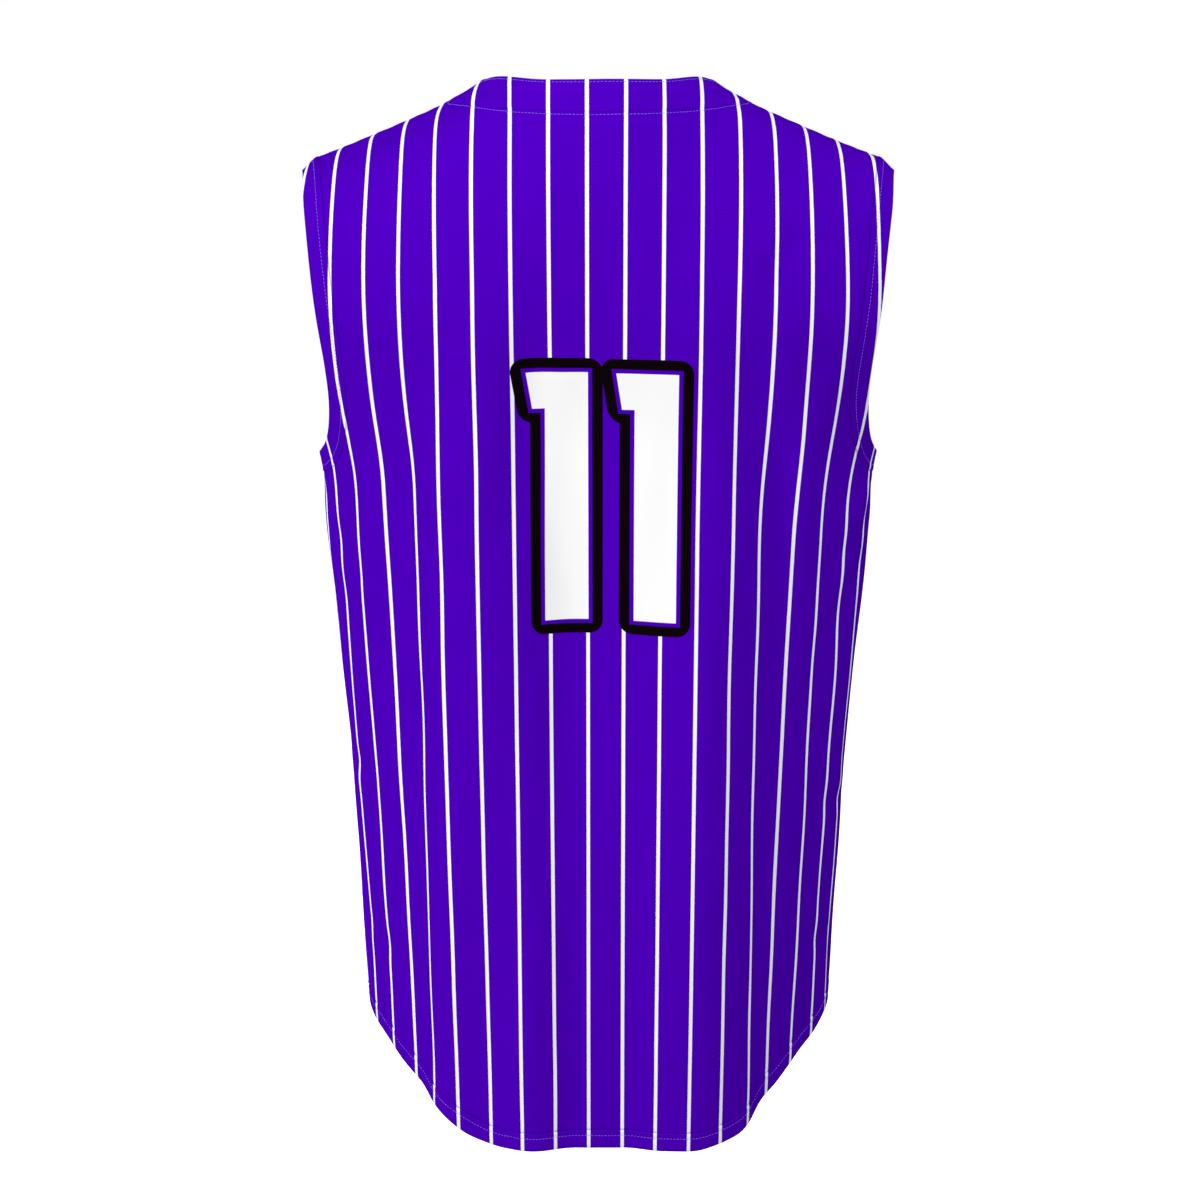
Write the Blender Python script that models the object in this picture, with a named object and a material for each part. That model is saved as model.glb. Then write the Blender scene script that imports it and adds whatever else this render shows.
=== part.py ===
"""A sleeveless baseball vest in its worn form, hollow, with no wearer.

Lengths are in millimetres and become metres where a mesh is made. +Z is up,
the wearer's front faces -Y and the wearer's left is +X. The origin is the
middle of the neck opening, level with the two shoulder-neck points.

Every cloth piece lies on one shared form. A place on the form is given as on
the flat cut: "across" is the distance along the cloth from the centre back or
centre front (+X side positive), and "up" is the distance along the cloth above
the chest level. Below that level the form is a stack of rings, and above it an
arch runs from the chest ring to the shoulder line.
"""
from collections import namedtuple
from functools import lru_cache
from math import copysign, hypot, pi, radians, sin

import bmesh
import bpy
import numpy as np
from mathutils import Matrix, Vector

METRE = 0.001

# ---------------------------------------------------------------- cloth
WALL = 1.6                 # one layer of knit
SEAM_GAP = 0.3             # between two pieces
BAND_PROUD = 0.6           # how far the doubled neck band stands out of the panels
PLACKET_WALL = 2.4         # the placket's doubled cloth

# ---------------------------------------------------------------- body of the vest
CHEST = -144.0             # level of the shoulder blades, where rings meet arches
LOWEST = -800.0
LEVEL_STEP = 8.0

Section = namedtuple(
    "Section", "height half_width back front back_square front_square side_line")
SECTIONS = (
    Section(-144, 234.0,  98, 118, 2.35, 2.3,   0),
    Section(-205, 216.0,  92, 122, 2.20, 2.3,  -4),
    Section(-254, 201.5,  91, 122, 2.10, 2.3,  -8),
    Section(-305, 199.0,  91, 120, 2.05, 2.3, -11),
    Section(-370, 195.5,  92, 119, 2.00, 2.3, -14),
    Section(-450, 191.0,  94, 121, 2.00, 2.3, -17),
    Section(-530, 188.0,  97, 125, 2.00, 2.3, -20),
    Section(-620, 185.0,  99, 129, 2.00, 2.3, -22),
    Section(-800, 181.0,  99, 134, 2.00, 2.3, -24),
)

# Long soft folds that fall from the shoulder blades, the chest and the arms.
# Places are distances along the cloth from the centre back or centre front.
Fold = namedtuple(
    "Fold", "face top_place hem_place top_height hem_height inner outer starts full")
FOLDS = (
    Fold("back",    60,   56,  4, 11, 44, 40, -180, -330),
    Fold("back",   -64,  -62,  3, 12, 44, 40, -200, -400),
    Fold("back",    99,  112, 11, 15, 50, 36, -150, -260),
    Fold("back",   -95, -102, 11, 14, 50, 36, -150, -300),
    Fold("back",   166,  160,  5,  0, 24, 24, -200, -280),
    Fold("back",  -146, -150,  6,  0, 24, 24, -200, -280),
    Fold("front",   88,   82,  5, 11, 52, 40, -190, -420),
    Fold("front",  -84,  -88,  4, 10, 50, 42, -205, -450),
    Fold("front",  172,  160,  4,  8, 34, 32, -270, -440),
    Fold("front", -168, -164,  5,  7, 32, 34, -265, -430),
)

# ---------------------------------------------------------------- shoulders
NECK_HALF = 103.0          # centre to the shoulder-neck point, on the seam
SHOULDER_TIP = 217.0       # centre to the shoulder tip, along the cloth
TIP_HALF = 207.0           # and straight across
TIP_DROP = 46.0            # how far the tip lies below the shoulder-neck point
NECK_RISE = 29.0           # how far the form goes on rising over the neck
CROWN = 47.0               # and its extra height in the middle of it
ARCH_POWER = {"back": 2.6, "front": 1.75}
DRAW_IN = 1.3              # how late an arch draws in towards the shoulder

# ---------------------------------------------------------------- edges of the cut
NECK_SEAM_BACK = 0.0       # height of the back neck seam
NECK_EDGE_BACK = 20.0      # height of the band's upper edge at the centre back
V_POINT = -175.0           # height of the point of the V, on the seam
V_CURVE = 1.3              # 1 would be a straight V
BAND_WIDTH = 22.0
BAND_AT_V = 30.0           # mitred width of the band at the point of the V

SIDE_TOP = 266.0           # centre back to side seam at the underarm
SIDE_HEM = 258.0           # and at the hem
HEM_SIDE = -708.0          # height of the hem at the side seam
BACK_TAIL = 67.0           # how far the tail hangs below that
FRONT_TAIL = 42.0
TAIL_START = 20.0          # level stretch of the hem next to the side seam
TAIL_REACH = 165.0         # width over which the tail drops

UNDERARM = -254.0          # height of the lowest point of the armhole
ARM_NARROW = -174.0        # height where the armhole cuts in most
Armhole = namedtuple("Armhole", "narrow square")
ARMHOLES = {"back": Armhole(195.0, 2.6), "front": Armhole(185.0, 2.4)}
ARM_FLARE = 1.4            # how late the armhole swings out to the shoulder tip

# ---------------------------------------------------------------- front fastening
PLACKET_HALF = 19.0
LEFT_EDGE = 13.0           # inner edge of the left front, under the placket
RIGHT_EDGE = 12.4          # the right front laps under the placket up to here
BUTTON_COUNT = 6
FIRST_BUTTON = -196.0      # heights of the first and the last button
LAST_BUTTON = -676.0
BUTTON_RADIUS = 5.75
BUTTON_THICK = 2.6
BUTTON_RIM = 1.1           # width of the raised rim
BUTTON_DISH = 0.7          # depth of the middle below the rim
HOLE_RADIUS = 0.85
HOLE_PLACE = 1.35          # each way from the button's centre
BUTTON_SIDES = 24

# ---------------------------------------------------------------- fineness
RING_SAMPLES = 1441
ARCH_SAMPLES = 121
SIDE_ROWS = 19
ARM_LOW_STEPS = (0.34, 0.58, 0.76, 0.88, 0.95, 0.99, 1.0)
ARM_HIGH_ROWS = 7
NECK_COLUMNS = 9           # on each side of the centre back
NECK_CROWDING = 1.25       # how much closer they get towards the shoulders
SHOULDER_COLUMNS = 9
V_PLACES = (13.0, 27.0, 42.0, 56.0, 69.0, 81.0, 92.0, NECK_HALF)
PLACKET_COLUMNS = (-1.0, -0.5, 0.0, 0.5, 1.0)

# ---------------------------------------------------------------- colours
PURPLE = (0.065, 0.0, 0.45, 1.0)
WHITE = (0.86, 0.86, 0.85, 1.0)


def ease(part):
    """Go smoothly from 0 to 1 while part goes from 0 to 1."""
    part = np.clip(part, 0.0, 1.0)
    return part * part * (3.0 - 2.0 * part)


def section_at(height):
    """Read the table of sections at any height, with no kink between the rows."""
    heights = np.array([row.height for row in SECTIONS[::-1]], float)
    values = np.array(SECTIONS[::-1], float)
    slopes = np.gradient(values, heights, axis=0)
    row = int(np.clip(np.searchsorted(heights, height) - 1, 0, len(heights) - 2))
    span = heights[row + 1] - heights[row]
    part = float(np.clip((height - heights[row]) / span, 0.0, 1.0))
    back = 1.0 - part
    mixed = ((1 + 2 * part) * back ** 2 * values[row]
             + part * back ** 2 * span * slopes[row]
             + part ** 2 * (3 - 2 * part) * values[row + 1]
             - part ** 2 * back * span * slopes[row + 1])
    return Section(*mixed)


def along(xs, ys):
    """Distance along an open line of points, zero at its middle point."""
    distance = np.concatenate([[0.0], np.cumsum(np.hypot(np.diff(xs), np.diff(ys)))])
    return distance - distance[len(distance) // 2]


def fold_lift(fold, arcs, height):
    """Outward lift that one fold gives the points of a ring."""
    drop = (CHEST - height) / (CHEST - LOWEST)
    place = fold.top_place + (fold.hem_place - fold.top_place) * drop
    lift = fold.top_height + (fold.hem_height - fold.top_height) * drop
    lift *= ease((fold.starts - height) / (fold.starts - fold.full))
    if fold.face == "front":
        arcs = np.copysign(arcs[-1] - np.abs(arcs), arcs)
    away = (arcs - place) * copysign(1.0, place)
    width = np.where(away > 0, fold.outer, fold.inner)
    return lift * 0.5 * (1.0 + np.cos(pi * np.clip(np.abs(away) / width, 0.0, 1.0)))


@lru_cache(maxsize=None)
def ring_at(height):
    """One level ring of the form: distance along it from the centre back, x and y."""
    size = section_at(height)
    turn = np.linspace(-pi, pi, RING_SAMPLES)
    side, forward = np.sin(turn), np.cos(turn)
    depth = np.where(forward >= 0, size.back - size.side_line, size.front + size.side_line)
    power = size.front_square + (size.back_square - size.front_square) * ease(forward + 0.5)
    radius = (np.abs(forward / depth) ** power
              + np.abs(side / size.half_width) ** power) ** (-1.0 / power)
    xs, ys = radius * side, radius * forward + size.side_line
    arcs = along(xs, ys)
    lift = sum(fold_lift(fold, arcs, height) for fold in FOLDS)
    out_x, out_y = -np.gradient(ys, arcs), np.gradient(xs, arcs)
    xs, ys = xs + out_x * lift, ys + out_y * lift
    return along(xs, ys), xs, ys


def ring_place(face, across, height):
    """A point of one level ring, from its distance to the centre of its face."""
    arcs, xs, ys = ring_at(height)
    arc = across
    if face == "front":
        arc = (arcs[-1] if across > 0 else arcs[0]) - across
    return np.array([np.interp(arc, arcs, xs), np.interp(arc, arcs, ys), height])


def side_point(face, across, height):
    """A point of the form below the chest level."""
    steps = (CHEST - height) / LEVEL_STEP
    above = CHEST - LEVEL_STEP * int(steps)
    part = steps - int(steps)
    upper = ring_place(face, across, above)
    lower = ring_place(face, across, above - LEVEL_STEP)
    return upper + (lower - upper) * part


def shoulder_point(across):
    """A point of the line over the shoulders, carried on over the neck."""
    reach = abs(across)
    if reach > NECK_HALF:
        share = (reach - NECK_HALF) / (SHOULDER_TIP - NECK_HALF)
        width = TIP_HALF - NECK_HALF
        straight_drop = 2.0 * NECK_RISE / NECK_HALF * width
        x = NECK_HALF + width * share
        z = -straight_drop * share + (straight_drop - TIP_DROP) * share ** 2
    else:
        x = reach
        inward = 1.0 - (x / NECK_HALF) ** 2
        z = NECK_RISE * inward + CROWN * inward ** 3
    return np.array([copysign(x, across), 0.0, z])


@lru_cache(maxsize=None)
def arch_at(face, across):
    """The line of the cloth from the chest ring up to the shoulder line."""
    foot = ring_place(face, across, CHEST)
    top = shoulder_point(across)
    power = ARCH_POWER[face]
    turn = np.linspace(0.0, pi / 2, ARCH_SAMPLES)
    depth, rise = foot[1] - top[1], top[2] - foot[2]
    radius = ((np.cos(turn) / abs(depth)) ** power
              + (np.sin(turn) / rise) ** power) ** (-1.0 / power)
    ys = top[1] + copysign(1.0, depth) * radius * np.cos(turn)
    climb = radius * np.sin(turn) / rise
    xs = foot[0] + (top[0] - foot[0]) * ease(climb) ** DRAW_IN
    points = np.stack([xs, ys, foot[2] + rise * climb], axis=1)
    steps = np.linalg.norm(np.diff(points, axis=0), axis=1)
    return np.concatenate([[0.0], np.cumsum(steps)]), points


def arch_length(face, across):
    """Distance along the cloth from the chest level to the shoulder line."""
    return arch_at(face, across)[0][-1]


def form_point(face, across, up):
    """The point of the form at a place on the flat cut."""
    if up <= 0.0:
        return side_point(face, across, CHEST + up)
    climb, points = arch_at(face, across)
    if up <= climb[-1]:
        return np.array([np.interp(up, climb, points[:, axis]) for axis in range(3)])
    over = (points[-1] - points[-2]) / np.linalg.norm(points[-1] - points[-2])
    return points[-1] + over * (up - climb[-1])


def form_normal(face, across, up):
    """The outward direction of the form at a place on the flat cut."""
    step = 1.5
    run = form_point(face, across + step, up) - form_point(face, across - step, up)
    rise = form_point(face, across, up + step) - form_point(face, across, up - step)
    normal = np.cross(rise, run) if face == "back" else np.cross(run, rise)
    return normal / np.linalg.norm(normal)


# ---------------------------------------------------------------- edges on the flat cut
def up_of_height(face, across, height):
    """The distance along the cloth of the point at a height, above the chest level."""
    if height <= CHEST:
        return height - CHEST
    climb, points = arch_at(face, across)
    return float(np.interp(height, points[:, 2], climb))


def neck_seam(face, across):
    """The seam between a panel and the neck band."""
    if face == "back":
        return up_of_height("back", across, NECK_SEAM_BACK)
    point = V_POINT - CHEST
    top = arch_length("front", NECK_HALF)
    return point + (top - point) * (abs(across) / NECK_HALF) ** V_CURVE


def panel_top(face, across):
    """The upper edge of a panel: the neck seam, then the shoulder seam."""
    if abs(across) >= NECK_HALF:
        return arch_length(face, across) - SEAM_GAP / 2
    step = 0.5
    slope = (neck_seam(face, abs(across) + step) - neck_seam(face, abs(across))) / step
    return neck_seam(face, across) - SEAM_GAP * hypot(1.0, slope)


def side_seam(face, side, up):
    """The side seam's distance from the centre of a face."""
    height = CHEST + up
    part = (UNDERARM - height) / (UNDERARM - HEM_SIDE)
    back = SIDE_TOP + (SIDE_HEM - SIDE_TOP) * part
    arcs = ring_at(height)[0]
    half_girth = arcs[-1] if side > 0 else -arcs[0]
    across = back if face == "back" else half_girth - back
    return across - SEAM_GAP / 2


def hem(face, across):
    """The lower edge of a panel, with its shirt tail."""
    tail = BACK_TAIL if face == "back" else FRONT_TAIL
    edge = side_seam(face, across, HEM_SIDE - CHEST)
    drop = tail * ease((edge - TAIL_START - abs(across)) / TAIL_REACH)
    return HEM_SIDE - CHEST - drop


def outer_edge(face, side):
    """The side seam and armhole of a panel, from the hem to the shoulder tip."""
    armhole = ARMHOLES[face]
    underarm, narrow = UNDERARM - CHEST, ARM_NARROW - CHEST
    hem_up = HEM_SIDE - CHEST
    edge = []
    for row in range(SIDE_ROWS + 1):
        up = hem_up + (underarm - hem_up) * row / SIDE_ROWS
        edge.append((side_seam(face, side, up), up))
    reach = edge[-1][0] - armhole.narrow
    for step in ARM_LOW_STEPS:
        drop = (1.0 - step ** armhole.square) ** (1.0 / armhole.square)
        edge.append((edge[SIDE_ROWS][0] - reach * step, narrow + (underarm - narrow) * drop))
    tip_up = panel_top(face, SHOULDER_TIP)
    for row in range(1, ARM_HIGH_ROWS + 1):
        part = row / ARM_HIGH_ROWS
        across = armhole.narrow + (SHOULDER_TIP - armhole.narrow) * part ** ARM_FLARE
        edge.append((across, narrow + (tip_up - narrow) * part))
    return edge


# ---------------------------------------------------------------- building
def make_material(name, colour, roughness):
    material = bpy.data.materials.new(name)
    material.use_nodes = True
    shader = material.node_tree.nodes["Principled BSDF"]
    shader.inputs["Base Color"].default_value = colour
    shader.inputs["Roughness"].default_value = roughness
    shader.inputs["Metallic"].default_value = 0.0
    material.diffuse_color = colour
    return material


def add_object(name, mesh, colour, roughness):
    item = bpy.data.objects.new(name, mesh)
    bpy.context.scene.collection.objects.link(item)
    mesh.materials.append(make_material(name + "_material", colour, roughness))
    return item


def wall_mesh(name, places, proud, inset, closed=False):
    """Make a closed wall from rows of places (face, across, up) on the form.

    The outer skin stands "proud" of the form and the inner one lies "inset"
    within it. A closed wall joins its last row to its first.
    """
    rows, columns = len(places), len(places[0])
    model = bmesh.new()
    outer, inner = [], []
    for row in places:
        stations = [(form_point(*place), form_normal(*place)) for place in row]
        for skin, offset in ((outer, proud), (inner, -inset)):
            skin.append([model.verts.new(Vector(point + normal * offset) * METRE)
                         for point, normal in stations])
    last_row = rows if closed else rows - 1
    for row in range(last_row):
        after = (row + 1) % rows
        for column in range(columns - 1):
            beside = column + 1
            model.faces.new((outer[row][column], outer[row][beside],
                             outer[after][beside], outer[after][column]))
            model.faces.new((inner[row][column], inner[after][column],
                             inner[after][beside], inner[row][beside]))
        for column in (0, columns - 1):
            model.faces.new((outer[row][column], outer[after][column],
                             inner[after][column], inner[row][column]))
    if not closed:
        for row in (0, rows - 1):
            for column in range(columns - 1):
                model.faces.new((outer[row][column], inner[row][column],
                                 inner[row][column + 1], outer[row][column + 1]))
    bmesh.ops.recalc_face_normals(model, faces=model.faces)
    bmesh.ops.triangulate(model, faces=model.faces, quad_method="SHORT_EDGE")
    mesh = bpy.data.meshes.new(name)
    model.to_mesh(mesh)
    model.free()
    mesh.shade_smooth()
    mesh.set_sharp_from_angle(angle=radians(40))
    return mesh


def spread(start, end, count):
    """Evenly spaced values, both ends included."""
    return [start + (end - start) * step / count for step in range(count + 1)]


def neck_places():
    """Places on the back neck seam, closer together towards the shoulders."""
    turns = spread(-NECK_CROWDING, NECK_CROWDING, 2 * NECK_COLUMNS)
    return [NECK_HALF * sin(turn) / sin(NECK_CROWDING) for turn in turns]


def shoulder_places():
    return spread(NECK_HALF, SHOULDER_TIP, SHOULDER_COLUMNS)


def panel_places(face, side, top_places, inner_edge):
    """Rows of places that fill a panel between its inner and its outer edge.

    The columns start from top_places on the neck and shoulder line. Each
    keeps its share of the width all the way down to the hem.
    """
    edge = outer_edge(face, side)
    low, high = edge[0][1], edge[-1][1]
    shares = [(place - inner_edge(SHOULDER_TIP))
              / (side * SHOULDER_TIP - inner_edge(SHOULDER_TIP)) for place in top_places]
    rows = []
    for outer, up in edge:
        climb = (up - low) / (high - low)
        inner = inner_edge(outer)
        row = []
        for share, place in zip(shares, top_places):
            across = inner + (side * outer - inner) * share
            bottom_across = inner_edge(edge[0][0]) * (1 - share) + side * edge[0][0] * share
            bottom = hem(face, bottom_across)
            top = panel_top(face, place)
            row.append((face, across, bottom + (top - bottom) * climb))
        rows.append(row)
    return rows


def build_back():
    beside = shoulder_places()
    top_places = [-place for place in beside[:0:-1]] + neck_places() + beside[1:]
    places = panel_places("back", 1, top_places, lambda outer: -outer)
    mesh = wall_mesh("back", places, 0.0, WALL)
    return add_object("back", mesh, PURPLE, 0.72)


def build_front(name, side):
    """One front. The right one crosses the centre and laps under the placket."""
    inner = LEFT_EDGE if side > 0 else RIGHT_EDGE
    lap = [inner] if side > 0 else [inner, 0.0, -V_PLACES[0]]
    top_places = (lap + [side * place for place in V_PLACES[1:]]
                  + [side * place for place in shoulder_places()[1:]])
    places = panel_places("front", side, top_places, lambda outer: inner)
    mesh = wall_mesh(name, places, 0.0, WALL)
    return add_object(name, mesh, PURPLE, 0.72)


def band_place(face, across):
    """The seam and the free edge of the neck band at one place on the neck seam."""
    share = abs(across) / NECK_HALF
    edge_half = NECK_HALF - BAND_WIDTH
    edge_across = across * edge_half / NECK_HALF
    if face == "back":
        crest = shoulder_point(edge_half)[2]
        height = NECK_EDGE_BACK + (crest - NECK_EDGE_BACK) * share ** 2
        edge_up = up_of_height("back", edge_across, height)
    else:
        point = V_POINT - CHEST + BAND_AT_V
        edge_up = point + (arch_length("front", edge_half) - point) * share ** V_CURVE
    return (face, across, neck_seam(face, across)), (face, edge_across, edge_up)


def build_neck_band():
    """The doubled band round the whole neck, mitred at the point of the V."""
    around = [("back", place) for place in neck_places()]
    around += [("front", place) for place in V_PLACES[-2::-1]] + [("front", 0.0)]
    around += [("front", -place) for place in V_PLACES[:-1]]
    places = []
    for face, across in around:
        lower, upper = band_place(face, across)
        middle = (face, (lower[1] + upper[1]) / 2, (lower[2] + upper[2]) / 2)
        places.append([lower, middle, upper])
    mesh = wall_mesh("neck_band", places, BAND_PROUD, WALL, closed=True)
    return add_object("neck_band", mesh, PURPLE, 0.72)


def centre_rows():
    """The heights of the fronts' rows at the centre front."""
    edge = outer_edge("front", 1)
    low, high = edge[0][1], edge[-1][1]
    bottom, top = hem("front", 0.0), panel_top("front", 0.0)
    return [bottom + (top - bottom) * (up - low) / (high - low) for _, up in edge]


def build_placket():
    """The front band, laid on the two fronts."""
    centre = centre_rows()
    places = []
    for up in centre:
        row = []
        for share in PLACKET_COLUMNS:
            across = share * PLACKET_HALF
            climb = (up - centre[0]) / (centre[-1] - centre[0])
            bottom, top = hem("front", across), panel_top("front", across)
            row.append(("front", across, bottom + (top - bottom) * climb))
        places.append(row)
    mesh = wall_mesh("placket", places, SEAM_GAP + PLACKET_WALL, -SEAM_GAP)
    return add_object("placket", mesh, PURPLE, 0.72)


def button_mesh():
    """A round button with a raised rim, a dished middle and four holes."""
    dish = BUTTON_RADIUS - BUTTON_RIM
    profile = ((0.0, 0.0), (BUTTON_RADIUS - 0.9, 0.0), (BUTTON_RADIUS, 0.9),
               (BUTTON_RADIUS, BUTTON_THICK - 0.6), (BUTTON_RADIUS - 0.4, BUTTON_THICK),
               (dish, BUTTON_THICK), (dish - 0.8, BUTTON_THICK - BUTTON_DISH),
               (0.0, BUTTON_THICK - BUTTON_DISH))
    model = bmesh.new()
    line = [model.verts.new((radius * METRE, 0.0, height * METRE))
            for radius, height in profile]
    edges = [model.edges.new(pair) for pair in zip(line, line[1:])]
    bmesh.ops.spin(model, geom=line + edges, cent=(0, 0, 0), axis=(0, 0, 1),
                   angle=2 * pi, steps=BUTTON_SIDES, use_duplicate=False)
    bmesh.ops.remove_doubles(model, verts=model.verts, dist=0.01 * METRE)
    bmesh.ops.recalc_face_normals(model, faces=model.faces)
    mesh = bpy.data.meshes.new("button")
    model.to_mesh(mesh)
    model.free()
    return mesh


def hole_cutter():
    """Four small pins that cut the thread holes of every button."""
    model = bmesh.new()
    for across in (-HOLE_PLACE, HOLE_PLACE):
        for up in (-HOLE_PLACE, HOLE_PLACE):
            place = Matrix.Translation(Vector((across, up, BUTTON_THICK / 2)) * METRE)
            bmesh.ops.create_cone(model, cap_ends=True, segments=8,
                                  radius1=HOLE_RADIUS * METRE, radius2=HOLE_RADIUS * METRE,
                                  depth=3 * BUTTON_THICK * METRE, matrix=place)
    mesh = bpy.data.meshes.new("hole_cutter")
    model.to_mesh(mesh)
    model.free()
    return mesh


def build_buttons():
    mesh = button_mesh()
    cutter_mesh = hole_cutter()
    mesh.materials.append(make_material("button_material", WHITE, 0.35))
    for number in range(BUTTON_COUNT):
        height = FIRST_BUTTON + (LAST_BUTTON - FIRST_BUTTON) * number / (BUTTON_COUNT - 1)
        place = ("front", 0.0, height - CHEST)
        outward = form_normal(*place)
        seat = form_point(*place) + outward * (SEAM_GAP + PLACKET_WALL + SEAM_GAP)
        turn = Vector(outward).to_track_quat("Z", "Y").to_matrix().to_4x4()
        spot = Matrix.Translation(Vector(seat) * METRE) @ turn
        button = bpy.data.objects.new("button_%d" % (number + 1), mesh)
        cutter = bpy.data.objects.new("hole_cutter_%d" % (number + 1), cutter_mesh)
        for item in (button, cutter):
            item.matrix_world = spot
            bpy.context.scene.collection.objects.link(item)
        cutter.hide_render = True
        cutter.display_type = "WIRE"
        holes = button.modifiers.new("holes", "BOOLEAN")
        holes.operation = "DIFFERENCE"
        holes.solver = "EXACT"
        holes.object = cutter


def main():
    for item in list(bpy.data.objects):
        bpy.data.objects.remove(item, do_unlink=True)
    build_back()
    build_front("front_left", 1)
    build_front("front_right", -1)
    build_neck_band()
    build_placket()
    build_buttons()


main()
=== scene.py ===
from collections import namedtuple
from functools import lru_cache, partialmethod
from math import copysign, pi, radians

import bpy
import numpy as np
from mathutils import Matrix, Vector


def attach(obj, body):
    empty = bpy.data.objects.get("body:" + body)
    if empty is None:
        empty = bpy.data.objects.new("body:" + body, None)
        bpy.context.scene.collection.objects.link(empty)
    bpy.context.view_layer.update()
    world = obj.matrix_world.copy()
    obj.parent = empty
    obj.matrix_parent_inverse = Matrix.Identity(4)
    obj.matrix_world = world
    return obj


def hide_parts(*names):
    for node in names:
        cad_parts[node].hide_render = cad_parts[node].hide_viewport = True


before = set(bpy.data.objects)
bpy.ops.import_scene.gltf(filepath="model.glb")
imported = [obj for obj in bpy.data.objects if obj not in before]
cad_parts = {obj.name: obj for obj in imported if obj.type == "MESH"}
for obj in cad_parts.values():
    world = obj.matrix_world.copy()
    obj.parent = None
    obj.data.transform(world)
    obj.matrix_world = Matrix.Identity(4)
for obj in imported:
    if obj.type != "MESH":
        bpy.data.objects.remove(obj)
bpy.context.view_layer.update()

METRE = 0.001
FACES = ("back", "front")

# ---------------------------------------------------------------- the shared form
CHEST, LOWEST = -144.0, -800.0
Section = namedtuple(
    "Section", "height half_width back front back_square front_square side_line")
SECTIONS = (
    Section(-144, 234.0,  98, 118, 2.35, 2.3,   0),
    Section(-205, 216.0,  92, 122, 2.20, 2.3,  -4),
    Section(-254, 201.5,  91, 122, 2.10, 2.3,  -8),
    Section(-305, 199.0,  91, 120, 2.05, 2.3, -11),
    Section(-370, 195.5,  92, 119, 2.00, 2.3, -14),
    Section(-450, 191.0,  94, 121, 2.00, 2.3, -17),
    Section(-530, 188.0,  97, 125, 2.00, 2.3, -20),
    Section(-620, 185.0,  99, 129, 2.00, 2.3, -22),
    Section(-800, 181.0,  99, 134, 2.00, 2.3, -24),
)
Fold = namedtuple(
    "Fold", "face top_place hem_place top_height hem_height inner outer starts full")
FOLDS = (
    Fold("back",    60,   56,  4, 11, 44, 40, -180, -330),
    Fold("back",   -64,  -62,  3, 12, 44, 40, -200, -400),
    Fold("back",    99,  112, 11, 15, 50, 36, -150, -260),
    Fold("back",   -95, -102, 11, 14, 50, 36, -150, -300),
    Fold("back",   166,  160,  5,  0, 24, 24, -200, -280),
    Fold("back",  -146, -150,  6,  0, 24, 24, -200, -280),
    Fold("front",   88,   82,  5, 11, 52, 40, -190, -420),
    Fold("front",  -84,  -88,  4, 10, 50, 42, -205, -450),
    Fold("front",  172,  160,  4,  8, 34, 32, -270, -440),
    Fold("front", -168, -164,  5,  7, 32, 34, -265, -430),
)
NECK_HALF, SHOULDER_TIP, TIP_HALF = 103.0, 217.0, 207.0
TIP_DROP, NECK_RISE, CROWN = 46.0, 29.0, 47.0
ARCH_POWER = {"back": 2.6, "front": 1.75}
DRAW_IN = 1.3
SEAM_GAP, SEAM_CLOSED = 0.3, 0.2     # between the solids, and what the band takes of it

# ---------------------------------------------------------------- edges of the cut
NECK_SEAM_BACK, NECK_EDGE_BACK = 0.0, 20.0
V_POINT, V_CURVE = -175.0, 1.3
BAND_WIDTH, BAND_AT_V = 22.0, 30.0
BAND_RISE = 2.4             # how much the band stands up before it reaches the shoulders
SIDE_TOP, SIDE_HEM, HEM_SIDE = 266.0, 258.0, -708.0
TAIL = {"back": 67.0, "front": 42.0}
TAIL_START, TAIL_REACH = 20.0, 165.0
Trim = namedtuple("Trim", "place width rise")
HEM_TRIMS = {"back": (Trim(120.0, 17.0, 5.5), Trim(-128.0, 26.0, -2.8)), "front": ()}
UNDERARM, ARM_NARROW = -254.0, -174.0
Armhole = namedtuple("Armhole", "narrow square")
ARMHOLES = {"back": Armhole(195.0, 2.6), "front": Armhole(185.0, 2.4)}
ARM_FLARE = 1.4
PLACKET_HALF, LEFT_EDGE, RIGHT_EDGE = 19.0, 13.0, 12.4
PLACKET_LIFT, PLACKET_TOP = 0.35, 2.55
BUTTON_SEAT = 3.0
BUTTON_COUNT, FIRST_BUTTON, LAST_BUTTON = 6, -196.0, -676.0

# ---------------------------------------------------------------- the cloth itself
CLOTH = 0.95                # one layer of mesh knit
TURN_WIDTH = 15.0           # turned-up hems of the tail and the armholes
TURN_RAISE = 0.32           # how far they stand out
TURN_STITCH = 11.0          # the topstitching lies this far inside the edge
SEAM_DEPTH, NECK_SEAM_DEPTH = 0.7, 0.12
RIM_BULGE = 0.18            # how far a cut edge stands out in the middle
STRIPE_PITCH, STRIPE_WIDTH = 25.4, 2.55
# where the first stripe lies, of a pitch, from the centre line
STRIPE_START = {"back": 0.29, "front": 0.29, "placket": 0.5}

RING_SAMPLES, ARCH_SAMPLES = 1441, 121
GRID_ACROSS, GRID_UP = 2.0, 3.0
GRID_HALF, GRID_TOP = 300.0, 240.0
KNEE_SOFTNESS = 14.0        # how softly the chest level bends into the shoulders

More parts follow.
